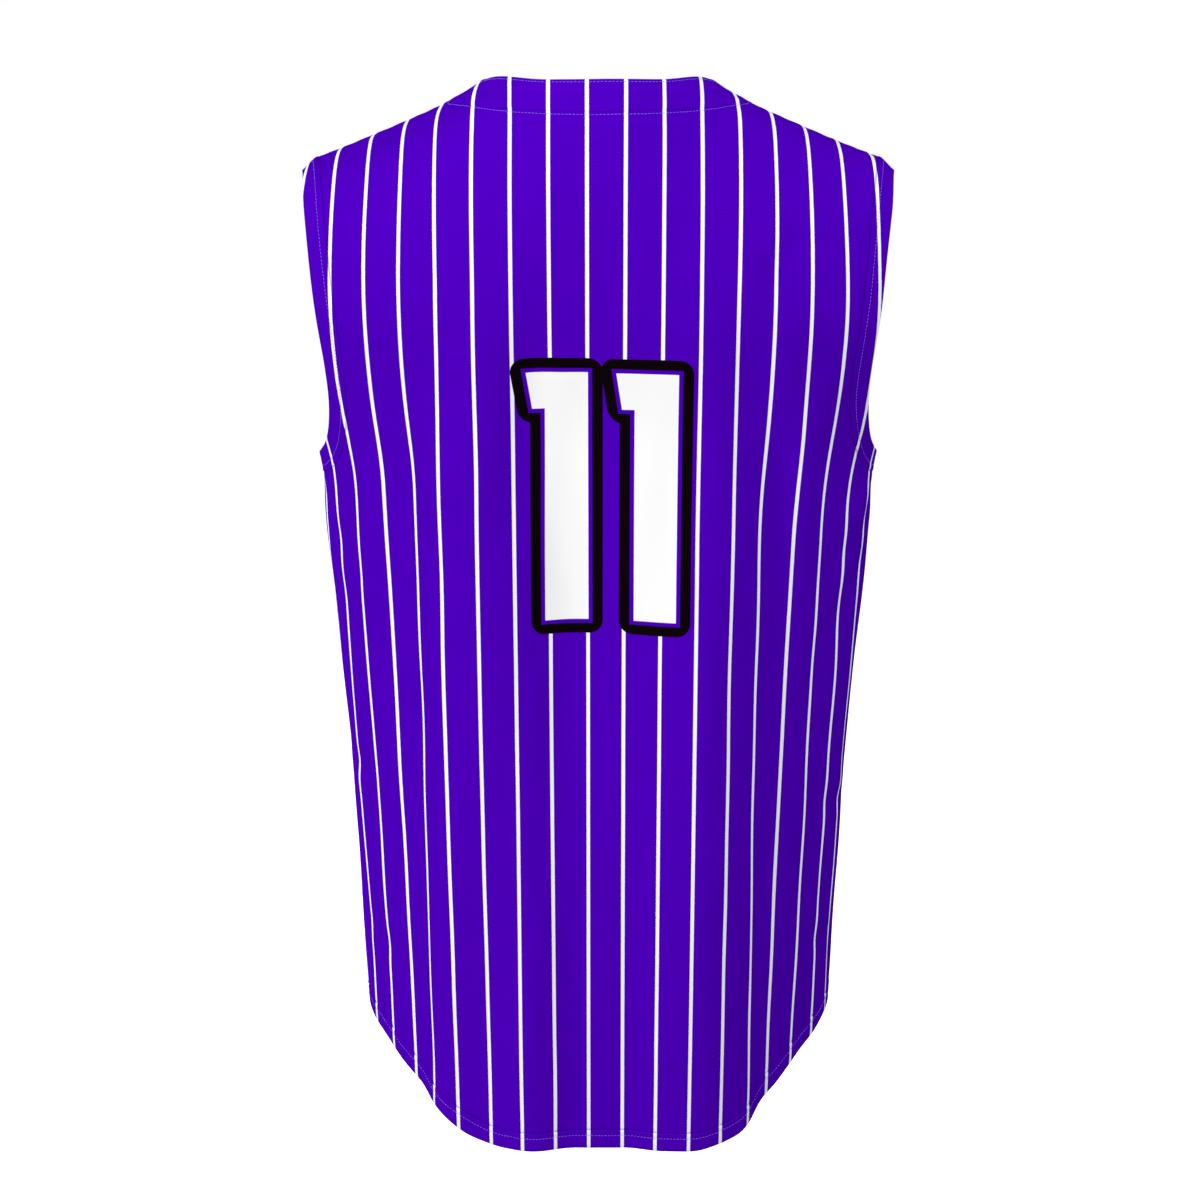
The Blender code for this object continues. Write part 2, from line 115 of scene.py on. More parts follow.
# Soft creases: from one place to another on the flat cut, how deep
# and how wide the trough is, and how far its middle bows out to the left of its way.
Crease = namedtuple("Crease", "across up to_across to_up depth width bow")
CREASES = {"back": (
    (14, 150, 12, -590, 8.0, 42, 3),
    (-106, 110, -106, -570, 4.2, 25, -3),
    (150, 20, 172, -420, 2.2, 17, -4),
    (46, 52, 42, -175, 3.4, 19, 2),
    (243, -118, 168, -205, 1.6, 11, 9),
    (250, -140, 196, -262, 1.2, 10, -8),
    (-246, -122, -182, -190, 1.5, 10, -8),
    (-252, -150, -170, -292, 1.3, 12, 10),
    (186, -40, 150, -112, 0.9, 13, 6),
    (-190, -20, -148, -128, 1.0, 13, -7),
    (238, -330, 178, -352, 1.0, 9, 4),
    (-244, -386, -170, -356, 1.1, 10, -5),
    (216, -470, 158, -498, 0.8, 11, 5),
    (-222, -498, -176, -474, 0.9, 9, -4),
    (24, -560, 12, -380, 0.9, 13, 5),
    (-22, -590, -28, -420, 0.8, 12, -4),
    (128, 62, 96, 20, 0.7, 10, 5),
    (-131, 70, -104, 12, 0.8, 11, -5),
), "front": (
    (50, 60, 46, -540, 3.4, 20, 3),
    (-46, -540, -52, 60, 3.2, 20, 3),
    (128, 40, 122, -490, 3.4, 19, -3),
    (-122, -480, -131, 20, 3.0, 18, 3),
    (244, -112, 160, -172, 1.4, 11, 9),
    (240, -150, 176, -268, 1.1, 13, -8),
    (-238, -108, -152, -158, 1.8, 10, -8),
    (-246, -160, -186, -300, 1.5, 11, 9),
    (122, 128, 84, -8, 1.6, 13, 10),
    (-126, 120, -96, 14, 1.4, 12, -9),
    (172, 60, 138, -46, 1.4, 11, 8),
    (-168, 30, -122, -62, 1.5, 12, -8),
    (24, -150, 92, -132, 1.1, 8, -5),
    (-24, -146, -78, -120, 1.0, 8, 4),
    (24, -246, 80, -262, 1.1, 9, 5),
    (-24, -250, -104, -228, 1.2, 9, 5),
    (24, -342, 112, -318, 1.1, 10, -6),
    (-24, -338, -74, -356, 1.0, 8, -4),
    (24, -438, 86, -462, 1.0, 9, 5),
    (-24, -436, -96, -414, 1.1, 10, 6),
    (232, -352, 168, -388, 1.2, 10, 5),
    (-228, -404, -150, -374, 1.3, 11, -6),
    (206, -500, 148, -482, 1.0, 11, -4),
    (-200, -470, -146, -512, 1.0, 10, 5),
)}
# Long shallow waves that keep any stretch of cloth from lying dead flat.
Wave = namedtuple("Wave", "height across_length up_length turn")
WAVES = (
    Wave(0.34, 97, 410, 0.4), Wave(0.26, -61, 233, 1.9), Wave(0.22, 143, -127, 3.1),
    Wave(0.16, 38, 171, 5.0), Wave(0.12, -29, 96, 2.2),
)

# The cloth settles a little where the neck band crosses the shoulders, and its outer
# end curls down over the shoulder.
SETTLE, SETTLE_PLACE, SETTLE_WIDTH = 3.7, 84.0, 50.0
FRONT_SETTLE = 3.0          # and a little more in front of the shoulder line
TIP_CURL, TIP_WIDTH = 5.0, 16.0
SHOULDER_REACH = 60.0       # how far below the shoulder line both fade out

# ---------------------------------------------------------------- sewing and buttons
STITCH_PITCH, STITCH_LENGTH, THREAD = 2.5, 1.7, 0.30
STITCH_DIP = 0.12           # how far a stitch's ends dip into the cloth
SEAM_STITCH = 1.7           # below the neck seam
EDGE_STITCH = 2.0           # inside the neck band's free edge
PLACKET_STITCH = 4.0        # inside the placket's edges
# The puckers that sewing makes: their pitch, and how much and how slowly it drifts.
Pucker = namedtuple("Pucker", "pitch swing drift")
SEAM_PUCKER, HEM_PUCKER = Pucker(2.3, 1.3, 19.0), Pucker(1.9, 1.7, 23.0)
BAND_PUCKER, PLACKET_PUCKER = Pucker(2.1, 1.5, 17.0), Pucker(2.2, 1.4, 21.0)
BUTTON_RADIUS, BUTTON_THICK, BUTTON_RIM, BUTTON_DISH = 5.7, 2.5, 1.15, 0.75
HOLE_RADIUS, HOLE_PLACE = 0.8, 1.35
STRAND_RADIUS, STRAND_SHIFTS = 0.19, (-0.3, 0.0, 0.3)
BUTTONHOLE_HALF, BUTTONHOLE_WIDTH, SATIN = 9.2, 1.3, 0.8

# ---------------------------------------------------------------- colours and light
PURPLE = (0.0676, 0.0, 0.457)
PURPLE_LIGHT = (0.097, 0.0, 0.585)
# painted shade: a darker purple laid into the furrow above each turned hem
PAINTED_FURROW_SHADE = (0.027, 0.0, 0.192)
WHITE = (0.95, 0.95, 0.955)
BLACK = (0.0042, 0.0018, 0.0024)
TOPSTITCH_COLOUR = (0.36, 0.22, 0.80)
BUTTONHOLE_COLOUR = (0.05, 0.0, 0.36)
BUTTON_THREAD_COLOUR = (0.82, 0.80, 0.86)
PEARL, PEARL_SHADE = (0.84, 0.84, 0.82), (0.66, 0.67, 0.68)
FLOOR_COLOUR, FLOOR_SHADE = (0.93, 0.93, 0.94), (0.88, 0.88, 0.9)
LOOP_ACROSS, LOOP_UP = 0.9, 0.7          # one loop of the knit
EYE_ACROSS, EYE_UP = 2.75, 2.45          # from one eyelet of the knit to the next
TWIST = 0.45                             # one turn of a thread's twist
STRIPE_BLUR, NUMBER_BLUR = 0.14, 0.15    # half the width of a soft printed edge

# The number: two digits alike, each a stem with a flag at its top, in mm on the flat
# cut of the back, measured from the stem's inner edge.
DIGIT_STEMS = (7.0, -54.4)
STEM_WIDTH = 29.6
FLAG_TOP, FLAG_FOOT = 12.6, 8.6         # how far the flag stands out of the stem
DIGIT_TOP, DIGIT_FOOT, FLAG_DEPTH = -29.2, -207.5, 25.8
GAP_WIDTH, OUTLINE_WIDTH = 2.9, 7.3

# The studio, in metres and degrees.
CAMERA_PLACE, CAMERA_DOWN, CAMERA_LENS = (-0.0012, 1.563, 0.192), 19.7, 67.2
FLOOR_LEVEL, FLOOR_SIZE, FLOOR_GLOW = -1.45, 60.0, 0.78
Lamp = namedtuple("Lamp", "place aim size power")
LAMPS = (
    Lamp((2.6, 1.5, -0.3), (0.0, 0.0, -0.3), 1.0, 50.0),       # key, low at the back's left
    Lamp((-0.6, 1.4, 1.6), (0.0, 0.0, -0.15), 0.9, 38.0),      # above the back's right
    Lamp((1.7, -2.4, 0.2), (0.0, 0.0, -0.3), 1.0, 60.0),       # the front's own key
)
HORIZON, SKY = 0.96, 0.2                 # how bright the studio is low down and high up
HORIZON_TOP, SKY_FOOT = 0.03, 0.35       # where one gives way to the other


# ================================================================ lines and curves
def ease(part):
    """Go smoothly from 0 to 1 while part goes from 0 to 1."""
    part = np.clip(part, 0.0, 1.0)
    return part * part * (3.0 - 2.0 * part)


def hump(off, width):
    """1 in the middle, falling softly to nothing over a few widths."""
    return np.exp(-(off / width) ** 2)


def unit(vectors):
    return vectors / np.linalg.norm(vectors, axis=-1, keepdims=True)


def stations(points):
    """Distance along a line of points from its first one."""
    steps = np.linalg.norm(np.diff(points, axis=0), axis=1)
    return np.concatenate([[0.0], np.cumsum(steps)])


def read_line(wanted, known, points):
    """Points of a line where its known values pass the wanted ones."""
    return np.stack([np.interp(wanted, known, column) for column in points.T], axis=-1)


def even(start, end, step):
    """Evenly spaced values from start to end, both included."""
    return np.linspace(start, end, max(int(round((end - start) / step)), 2) + 1)


# ================================================================ the form
def section_at(height):
    """Read the table of sections at any height, with no kink between the rows."""
    values = np.array(SECTIONS[::-1], float)
    heights = values[:, 0]
    slopes = np.gradient(values, heights, axis=0)
    row = int(np.clip(np.searchsorted(heights, height) - 1, 0, len(heights) - 2))
    span = heights[row + 1] - heights[row]
    part = float(np.clip((height - heights[row]) / span, 0.0, 1.0))
    back = 1.0 - part
    mixed = ((1 + 2 * part) * back ** 2 * values[row]
             + part * back ** 2 * span * slopes[row]
             + part ** 2 * (3 - 2 * part) * values[row + 1]
             - part ** 2 * back * span * slopes[row + 1])
    return Section(*mixed)


def fold_lift(fold, arcs, height):
    """Outward lift that one long fold gives the points of a ring."""
    drop = (CHEST - height) / (CHEST - LOWEST)
    place = fold.top_place + (fold.hem_place - fold.top_place) * drop
    lift = fold.top_height + (fold.hem_height - fold.top_height) * drop
    lift *= ease((fold.starts - height) / (fold.starts - fold.full))
    if fold.face == "front":
        arcs = np.copysign(arcs[-1] - np.abs(arcs), arcs)
    away = (arcs - place) * copysign(1.0, place)
    width = np.where(away > 0, fold.outer, fold.inner)
    return lift * 0.5 * (1.0 + np.cos(pi * np.clip(np.abs(away) / width, 0.0, 1.0)))


def ring_arcs(xs, ys):
    """Distance along an open ring of points, zero at its middle point."""
    distance = stations(np.stack([xs, ys], axis=1))
    return distance - distance[len(distance) // 2]


@lru_cache(maxsize=None)
def ring_at(height):
    """One level ring of the form: distance along it from the centre back, x and y."""
    size = section_at(height)
    turn = np.linspace(-pi, pi, RING_SAMPLES)
    side, forward = np.sin(turn), np.cos(turn)
    depth = np.where(forward >= 0, size.back - size.side_line, size.front + size.side_line)
    power = size.front_square + (size.back_square - size.front_square) * ease(forward + 0.5)
    radius = (np.abs(forward / depth) ** power
              + np.abs(side / size.half_width) ** power) ** (-1.0 / power)
    xs, ys = radius * side, radius * forward + size.side_line
    arcs = ring_arcs(xs, ys)
    lift = sum(fold_lift(fold, arcs, height) for fold in FOLDS)
    out_x, out_y = -np.gradient(ys, arcs), np.gradient(xs, arcs)
    xs, ys = xs + out_x * lift, ys + out_y * lift
    return ring_arcs(xs, ys), xs, ys


def ring_places(face, across, height):
    """Points of one level ring, from their distances to the centre of a face."""
    arcs, xs, ys = ring_at(height)
    arc = np.asarray(across, float)
    if face == "front":
        arc = np.where(arc > 0, arcs[-1], arcs[0]) - arc
    return read_line(arc, arcs, np.stack([xs, ys, np.full(len(xs), height)], axis=1))


def shoulder_point(across):
    """A point of the line over the shoulders, carried on over the neck."""
    reach = abs(across)
    if reach > NECK_HALF:
        share = (reach - NECK_HALF) / (SHOULDER_TIP - NECK_HALF)
        width = TIP_HALF - NECK_HALF
        straight_drop = 2.0 * NECK_RISE / NECK_HALF * width
        x = NECK_HALF + width * share
        z = -straight_drop * share + (straight_drop - TIP_DROP) * share ** 2
    else:
        x = reach
        inward = 1.0 - (x / NECK_HALF) ** 2
        z = NECK_RISE * inward + CROWN * inward ** 3
    return np.array([copysign(x, across), 0.0, z])


@lru_cache(maxsize=None)
def arch_at(face, across):
    """The line of the cloth from the chest ring up to the shoulder line."""
    foot = ring_places(face, across, CHEST)
    top = shoulder_point(across)
    power = ARCH_POWER[face]
    turn = np.linspace(0.0, pi / 2, ARCH_SAMPLES)
    depth, rise = foot[1] - top[1], top[2] - foot[2]
    radius = ((np.cos(turn) / abs(depth)) ** power
              + (np.sin(turn) / rise) ** power) ** (-1.0 / power)
    ys = top[1] + copysign(1.0, depth) * radius * np.cos(turn)
    climb = radius * np.sin(turn) / rise
    xs = foot[0] + (top[0] - foot[0]) * ease(climb) ** DRAW_IN
    points = np.stack([xs, ys, foot[2] + rise * climb], axis=1)
    return stations(points), points


def arch_length(face, across):
    """Distance along the cloth from the chest level to the shoulder line."""
    return arch_at(face, float(across))[0][-1]


def arch_places(face, across, ups):
    """Points above the chest level in one upright line of the cloth."""
    climb, points = arch_at(face, float(across))
    over = unit(points[-1] - points[-2])
    return read_line(ups, climb, points) + over * np.maximum(ups - climb[-1], 0.0)[:, None]


def cubic_shares(part):
    """How much each of four neighbours counts, between the middle two."""
    square, cube = part ** 2, part ** 3
    return (-0.5 * part + square - 0.5 * cube, 1.0 - 2.5 * square + 1.5 * cube,
            0.5 * part + 2.0 * square - 1.5 * cube, -0.5 * square + 0.5 * cube)


class Form:
    """One face of the form, worked out once on a grid of the flat cut."""

    def __init__(self, face):
        self.across = np.arange(-GRID_HALF, GRID_HALF + GRID_ACROSS / 2, GRID_ACROSS)
        self.up = np.arange(LOWEST - CHEST, GRID_TOP, GRID_UP)
        below = self.up <= 0.0
        self.points = np.empty((len(self.up), len(self.across), 3))
        for row in np.flatnonzero(below):
            self.points[row] = ring_places(face, self.across, CHEST + self.up[row])
        for column, across in enumerate(self.across):
            self.points[~below, column] = arch_places(face, across, self.up[~below])
        self.soften_chest()
        run = np.gradient(self.points, axis=1)
        rise = np.gradient(self.points, axis=0)
        self.normals = unit(np.cross(rise, run) if face == "back" else np.cross(run, rise))

    def soften_chest(self):
        """Take the slight knee out of the cloth where the rings meet the arches."""
        reach = int(3 * KNEE_SOFTNESS / GRID_UP)
        steps = np.arange(-reach, reach + 1)
        weights = np.exp(-0.5 * (steps * GRID_UP / KNEE_SOFTNESS) ** 2)
        weights /= weights.sum()
        middle = int(np.argmin(np.abs(self.up)))
        rows = np.arange(middle - 2 * reach, middle + 2 * reach)
        soft = sum(weight * self.points[rows + step] for step, weight in zip(steps, weights))
        share = ease(2.0 - np.abs(rows - middle) / reach)[:, None, None]
        self.points[rows] += (soft - self.points[rows]) * share

    def read(self, grid, across, up):
        """Read the grid between its points, with no kinks."""
        column = (np.asarray(across, float) - self.across[0]) / GRID_ACROSS
        row = (np.asarray(up, float) - self.up[0]) / GRID_UP
        first_column = np.clip(np.floor(column).astype(int), 1, len(self.across) - 3)
        first_row = np.clip(np.floor(row).astype(int), 1, len(self.up) - 3)
        total = 0.0
        for down, row_share in enumerate(cubic_shares(row - first_row)):
            for beside, column_share in enumerate(cubic_shares(column - first_column)):
                spots = grid[first_row + down - 1, first_column + beside - 1]
                total = total + spots * (row_share * column_share)[..., None]
        return total

    def normal(self, across, up):
        return unit(self.read(self.normals, across, up))

    def place(self, across, up, lift):
        """Points that stand a given distance out of the form."""
        lift = np.broadcast_to(lift, np.shape(across))[..., None]
        return self.read(self.points, across, up) + self.normal(across, up) * lift


# ================================================================ edges on the flat cut
def up_of_height(face, across, height):
    """The distance above the chest level, along the cloth, of a point at a height."""
    if height <= CHEST:
        return height - CHEST
    climb, points = arch_at(face, float(across))
    return float(np.interp(height, points[:, 2], climb))


def neck_seam(face, across):
    """The seam between a panel and the neck band."""
    if face == "back":
        return up_of_height("back", across, NECK_SEAM_BACK)
    point = V_POINT - CHEST
    top = arch_length("front", NECK_HALF)
    return point + (top - point) * (abs(across) / NECK_HALF) ** V_CURVE


def panel_top(face, across):
    """The upper edge of a panel: the neck seam, then the shoulder seam."""
    if abs(across) >= NECK_HALF:
        return arch_length(face, across) - SEAM_GAP / 2
    step = 0.5
    slope = (neck_seam(face, abs(across) + step) - neck_seam(face, abs(across))) / step
    return neck_seam(face, across) - SEAM_GAP * np.hypot(1.0, slope)


def panel_tops(face, places):
    return np.array([panel_top(face, place) for place in places])


def side_seam(face, side, up):
    """The side seam's distance from the centre of a face."""
    part = (UNDERARM - CHEST - up) / (UNDERARM - HEM_SIDE)
    back = SIDE_TOP + (SIDE_HEM - SIDE_TOP) * part
    arcs = ring_at(float(CHEST + up))[0]
    half_girth = arcs[-1] if side > 0 else -arcs[0]
    across = back if face == "back" else half_girth - back
    return across - SEAM_GAP / 2


@lru_cache(maxsize=None)
def hem_corner(face, side):
    return side_seam(face, side, HEM_SIDE - CHEST)


def hem(face, across):
    """The lower edge of a panel, with its shirt tail."""
    across = np.asarray(across, float)
    corner = np.where(across >= 0, hem_corner(face, 1), hem_corner(face, -1))
    drop = TAIL[face] * ease((corner - TAIL_START - np.abs(across)) / TAIL_REACH)
    for trim in HEM_TRIMS[face]:
        drop = drop - trim.rise * hump(across - trim.place, trim.width)
    return HEM_SIDE - CHEST - drop


@lru_cache(maxsize=None)
def seam_line(face, side):
    """The side seam as a table of heights along the cloth and places."""
    ups = np.arange(HEM_SIDE - CHEST - 4.0, -20.0, 4.0)
    return ups, np.array([side_seam(face, side, up) for up in ups])


def armhole_low(face, side, turns):
    """The armhole's lower quarter, from the side seam (turn 0) to its narrowest place."""
    armhole = ARMHOLES[face]
    underarm, narrow = UNDERARM - CHEST, ARM_NARROW - CHEST
    corner = side_seam(face, side, underarm)
    step = np.sin(turns) ** (2.0 / armhole.square)
    drop = np.maximum(np.cos(turns), 0.0) ** (2.0 / armhole.square)
    return np.stack([corner - (corner - armhole.narrow) * step,
                     narrow + (underarm - narrow) * drop], axis=1)


def armhole_high(face, ups):
    """The armhole above its narrowest place, up to the tip of the shoulder."""
    narrow, tip = ARM_NARROW - CHEST, panel_top(face, SHOULDER_TIP)
    part = np.clip((ups - narrow) / (tip - narrow), 0.0, 1.0)
    reach = SHOULDER_TIP - ARMHOLES[face].narrow
    return np.stack([ARMHOLES[face].narrow + reach * part ** ARM_FLARE, ups], axis=1)


@lru_cache(maxsize=None)
def edge_lines(face):
    """The turned, the seamed and the neck edges of one face, as lines on the flat cut."""
    turned, seamed = [], []
    for side in (1, -1):
        mirror = np.array([side, 1.0])
        low = armhole_low(face, side, np.linspace(0.0, pi / 2, 60))
        high = armhole_high(face, np.linspace(low[-1, 1], panel_top(face, SHOULDER_TIP), 50))
        turned.append(np.concatenate([low[:-1], high]) * mirror)
        ups, seams = seam_line(face, side)
        within = (ups > HEM_SIDE - CHEST - 1.0) & (ups < UNDERARM - CHEST + 3.0)
        seamed.append(np.stack([seams[within], ups[within]], axis=1)[::2] * mirror)
        places = np.linspace(NECK_HALF, SHOULDER_TIP, 24) * side
        seamed.append(np.stack([places, panel_tops(face, places)], axis=1))
    places = np.linspace(-hem_corner(face, -1), hem_corner(face, 1), 120)
    turned.append(np.stack([places, hem(face, places)], axis=1))
    places = np.linspace(-NECK_HALF, NECK_HALF, 90)
    return turned, seamed, np.stack([places, panel_tops(face, places)], axis=1)


# ================================================================ the panels' grids
# Rows and columns of the cloth meshes lie close together next to an edge, in mm from it.
HEM_ROWS = np.array([0.0, 0.7, 1.8, 3.6, 5.6, 7.6, 9.4, 10.4, 11.0, 11.6, 12.6, 14.0, 15.0,
                     15.8, 16.5, 17.4, 18.8, 21.0])
ARM_ROWS = np.array([0.0, 0.7, 1.8, 3.6, 6.0, 8.4, 10.2, 11.0, 11.8, 13.4, 15.0, 16.0, 17.2,
                     19.4, 22.5])
SEAM_ROWS = np.array([0.0, 0.8, 1.7, 3.0, 5.0])
ROW_STEP, COLUMN_STEP, UNDERARM_STEP, ARM_STEP = 4.3, 4.2, 3.4, 4.0


def spaced(line, step, closer=()):
    """Even places along a line, and closer ones before its far end."""
    station = stations(line)
    end = station[-1] - (closer[-1] if len(closer) else 0.0)
    wanted = even(0.0, end, step)
    if len(closer):
        wanted = np.concatenate([wanted[:-1], station[-1] - np.array(closer)[::-1]])
    return read_line(wanted, station, line)


@lru_cache(maxsize=None)
def neck_line(face):
    """The neck seam as a table from where it turns steep up to the shoulder."""
    places = np.linspace(LEFT_EDGE, NECK_HALF, 400)
    tops = panel_tops(face, places)
    first = int(np.argmax(np.gradient(tops, places) > 1.0)) if face == "back" else 0
    return places[first:], tops[first:]


def strap_columns(inner, outer, count):
    """Places between two edges: close to the neck, even, then close to the armhole."""
    middle = np.linspace(inner + SEAM_ROWS[-1], outer - ARM_ROWS[-1], count + 2)[1:-1]
    return np.concatenate([inner + SEAM_ROWS, middle, outer - ARM_ROWS[::-1]])


def levels(low, high):
    """Heights from low to high, closer together below the upper end."""
    return np.concatenate([even(low, high - SEAM_ROWS[-1], ROW_STEP)[:-1],
                           high - SEAM_ROWS[::-1]])


def half_panel(face, side, lap):
    """Three stacked grids of places for one side of a panel, on the + side.

    The lowest ends at the hem, and its outer columns end at the armhole. The middle
    one ends at the neck seam where the lap columns are, and elsewhere at the level
    where the neck turns steep. The strap runs on from there to the shoulder.
    """
    neck_places, neck_tops = neck_line(face)
    inner, level = neck_places[0], neck_tops[0]
    tip = panel_top(face, SHOULDER_TIP)
    split = armhole_low(face, side, np.array([pi / 4]))[0]
    low = spaced(armhole_low(face, side, np.linspace(pi / 4, pi / 2, 60)), ARM_STEP)
    arm_level = np.clip(level, low[-1, 1] + 20.0, tip - 35.0)
    yoke_ups = levels(low[-1, 1], arm_level)[1:]
    edge = np.concatenate([low, armhole_high(face, yoke_ups)])
    count = int((edge[-1, 0] - inner - SEAM_ROWS[-1] - ARM_ROWS[-1]) / COLUMN_STEP)

    def base(outer):
        return np.concatenate([lap, strap_columns(inner, outer, count)])

    # the lowest grid
    ups, seams = seam_line(face, side)
    outside = spaced(armhole_low(face, side, np.linspace(pi / 4, 0.0, 60)),
                     UNDERARM_STEP, SEAM_ROWS)[1:]
    from_seam = np.interp(outside[:, 1], ups, seams) - outside[:, 0]
    split_from_seam = np.interp(split[1], ups, seams) - split[0]
    tops = np.concatenate([np.full(len(base(split[0])), split[1]), outside[:, 1]])
    width = len(tops) - len(outside)

    def body_across(levels_at):
        seam = np.interp(levels_at, ups, seams)
        inside = np.stack([base(outer) for outer in seam[:, 0] - split_from_seam])
        return np.concatenate([inside, seam[:, width:] - from_seam], axis=1)

    bottom = np.full((1, len(tops)), HEM_SIDE - CHEST)
    for _ in range(4):
        bottom = hem(face, side * body_across(bottom))
    foot = bottom + HEM_ROWS[:, None]
    head = tops - ARM_ROWS[::-1, None]
    climb = np.linspace(0.0, 1.0, int((head[0, 0] - foot[-1, 0]) / ROW_STEP))[1:-1, None]
    body_up = np.concatenate([foot, foot[-1] + (head[0] - foot[-1]) * climb, head])
    body = np.stack([body_across(body_up), body_up], axis=-1)
    body[-1, :, 0] = np.concatenate([base(split[0]), outside[:, 0]])
    # the middle grid
    across = np.stack([base(outer) for outer in edge[:, 0]])
    part = (across[-1] - inner) / (edge[-1, 0] - inner)
    top = level + (arm_level - level) * part
    top[:len(lap)] = panel_tops(face, lap)
    climb = (edge[:, 1:] - split[1]) / (arm_level - SEAM_ROWS[-1] - split[1])
    up = split[1] + (top - SEAM_ROWS[-1] - split[1]) * climb
    up[-len(SEAM_ROWS):] = top - SEAM_ROWS[::-1, None]
    yoke = np.stack([across, up], axis=-1)
    # the strap
    neck_ups = levels(level, neck_tops[-1])
    share = (neck_ups - level) / (neck_ups[-len(SEAM_ROWS)] - level)
    arm_ups = arm_level + (tip - SEAM_ROWS[-1] - arm_level) * share
    arm_ups[-len(SEAM_ROWS):] = tip - SEAM_ROWS[::-1]
    inners = np.interp(neck_ups, neck_tops, neck_places)
    outers = armhole_high(face, arm_ups)[:, 0]
    across = np.stack([strap_columns(*ends, count) for ends in zip(inners, outers)])
    part = (across - inners[:, None]) / (outers - inners)[:, None]
    up = neck_ups[:, None] * (1.0 - part) + arm_ups[:, None] * part
    up = up + (panel_tops(face, across[-1]) - up[-1]) * np.minimum(share, 1.0)[:, None]
    return body, yoke, np.stack([across, up], axis=-1)


def grid_quads(index):
    """Corners of the quads between neighbours of a grid of numbers."""
    return np.stack([index[:-1, :-1], index[:-1, 1:], index[1:, 1:], index[1:, :-1]],
                    axis=-1).reshape(-1, 4)


def panel_mesh(face, side, lap):
    """Flat places of one side of a panel and the corners of its quads."""
    body, yoke, strap = half_panel(face, side, np.array(lap))
    index = np.arange(body[..., 0].size).reshape(body.shape[:2])
    flat, quads = [body.reshape(-1, 2)], [grid_quads(index)]
    for grid, first in ((yoke, 0), (strap, len(lap))):
        shared = index[-1:, first:first + grid.shape[1]]
        added = index.max() + 1 + np.arange(grid[1:, :, 0].size)
        index = np.concatenate([shared, added.reshape(grid[1:].shape[:2])])
        flat.append(grid[1:].reshape(-1, 2))
        quads.append(grid_quads(index))
    return np.concatenate(flat) * np.array([side, 1.0]), np.concatenate(quads)


def joined_halves(left, right):
    """Join two halves of a panel where both have points on the centre line."""
    (flat, quads), (other_flat, other_quads) = left, right
    match = np.arange(len(other_flat)) + len(flat)
    centre = np.flatnonzero(np.abs(other_flat[:, 0]) < 1e-6)
    own = np.flatnonzero(np.abs(flat[:, 0]) < 1e-6)
    match[centre[np.argsort(other_flat[centre, 1])]] = own[np.argsort(flat[own, 1])]
    quads = np.concatenate([quads, match[other_quads][:, ::-1]])
    used, quads = np.unique(quads, return_inverse=True)
    return np.concatenate([flat, other_flat])[used], quads.reshape(-1, 4)


# ================================================================ relief of the cloth
def distance_to(line, across, up):
    """Shortest distance from places to a line, and how far along it they lie."""
    starts, runs, before = line[:-1], np.diff(line, axis=0), stations(line)
    flat = np.stack([np.ravel(across), np.ravel(up)], axis=1)
    nearest = np.full(len(flat), 1e9)
    station = np.zeros(len(flat))
    for start, run, passed in zip(starts, runs, before):
        length = np.hypot(*run)
        part = np.clip(((flat - start) @ run) / length ** 2, 0.0, 1.0)
        gap = np.hypot(*(flat - start - part[:, None] * run).T)
        closer = gap < nearest
        nearest[closer] = gap[closer]
        station[closer] = passed + part[closer] * length
    return nearest.reshape(np.shape(across)), station.reshape(np.shape(across))


def least_gap(lines, across, up):
    """Distance from places to the nearest of some lines."""
    return np.min([distance_to(line, across, up)[0] for line in lines], axis=0)


@lru_cache(maxsize=None)
def shoulder_table(face):
    places = np.linspace(-SHOULDER_TIP, SHOULDER_TIP, 175)
    return places, np.array([arch_length(face, place) for place in places])


def shoulder_gap(face, across, up):
    """Distance along the cloth up to the shoulder line."""
    return np.maximum(np.interp(across, *shoulder_table(face)) - up, 0.0)


def crease_depth(crease, across, up):
    """The trough and the low ridge beside it that one crease makes."""
    run_across, run_up = crease.to_across - crease.across, crease.to_up - crease.up
    length = np.hypot(run_across, run_up)
    across, up = across - crease.across, up - crease.up
    part = (across * run_across + up * run_up) / length ** 2
    off = (up * run_across - across * run_up) / length - crease.bow * 4.0 * part * (1.0 - part)
    fade = ease(part / 0.35) * ease((1.0 - part) / 0.55)
    width = crease.width * (0.75 + 0.5 * np.clip(part, 0.0, 1.0))
    return crease.depth * fade * (0.55 * hump(off - 1.7 * width, width) - hump(off, width))


def drape(face, across, up):
    """Soft creases and waves, which fade out at the side and shoulder seams."""
    lift = sum(crease_depth(Crease(*row), across, up) for row in CREASES[face])
    for wave in WAVES:
        lift = lift + wave.height * np.sin(
            2 * pi * (across / wave.across_length + up / wave.up_length) + wave.turn)
    to_top = shoulder_gap(face, across, up)
    settled = hump(np.abs(across) - SETTLE_PLACE, SETTLE_WIDTH)
    settled = settled * ease(1.0 - to_top / SHOULDER_REACH)
    settle = SETTLE + (FRONT_SETTLE * ease(to_top / 12.0) if face == "front" else 0.0)
    return lift * ease(least_gap(edge_lines(face)[1], across, up) / 16.0) - settle * settled


def puckers(kind, station):
    """Small waves along sewing, their pitch drifting."""
    return np.sin(station / kind.pitch + kind.swing * np.sin(station / kind.drift))


def sewn_relief(gap, station, depth=SEAM_DEPTH):
    """Cloth drawn in at a seam, with small puckers beside it."""
    waver = 0.16 * puckers(SEAM_PUCKER, station) * ease(gap / 2.0) * ease(1.0 - gap / 11.0)
    return waver - depth * ease(1.0 - gap / 3.2) ** 1.5


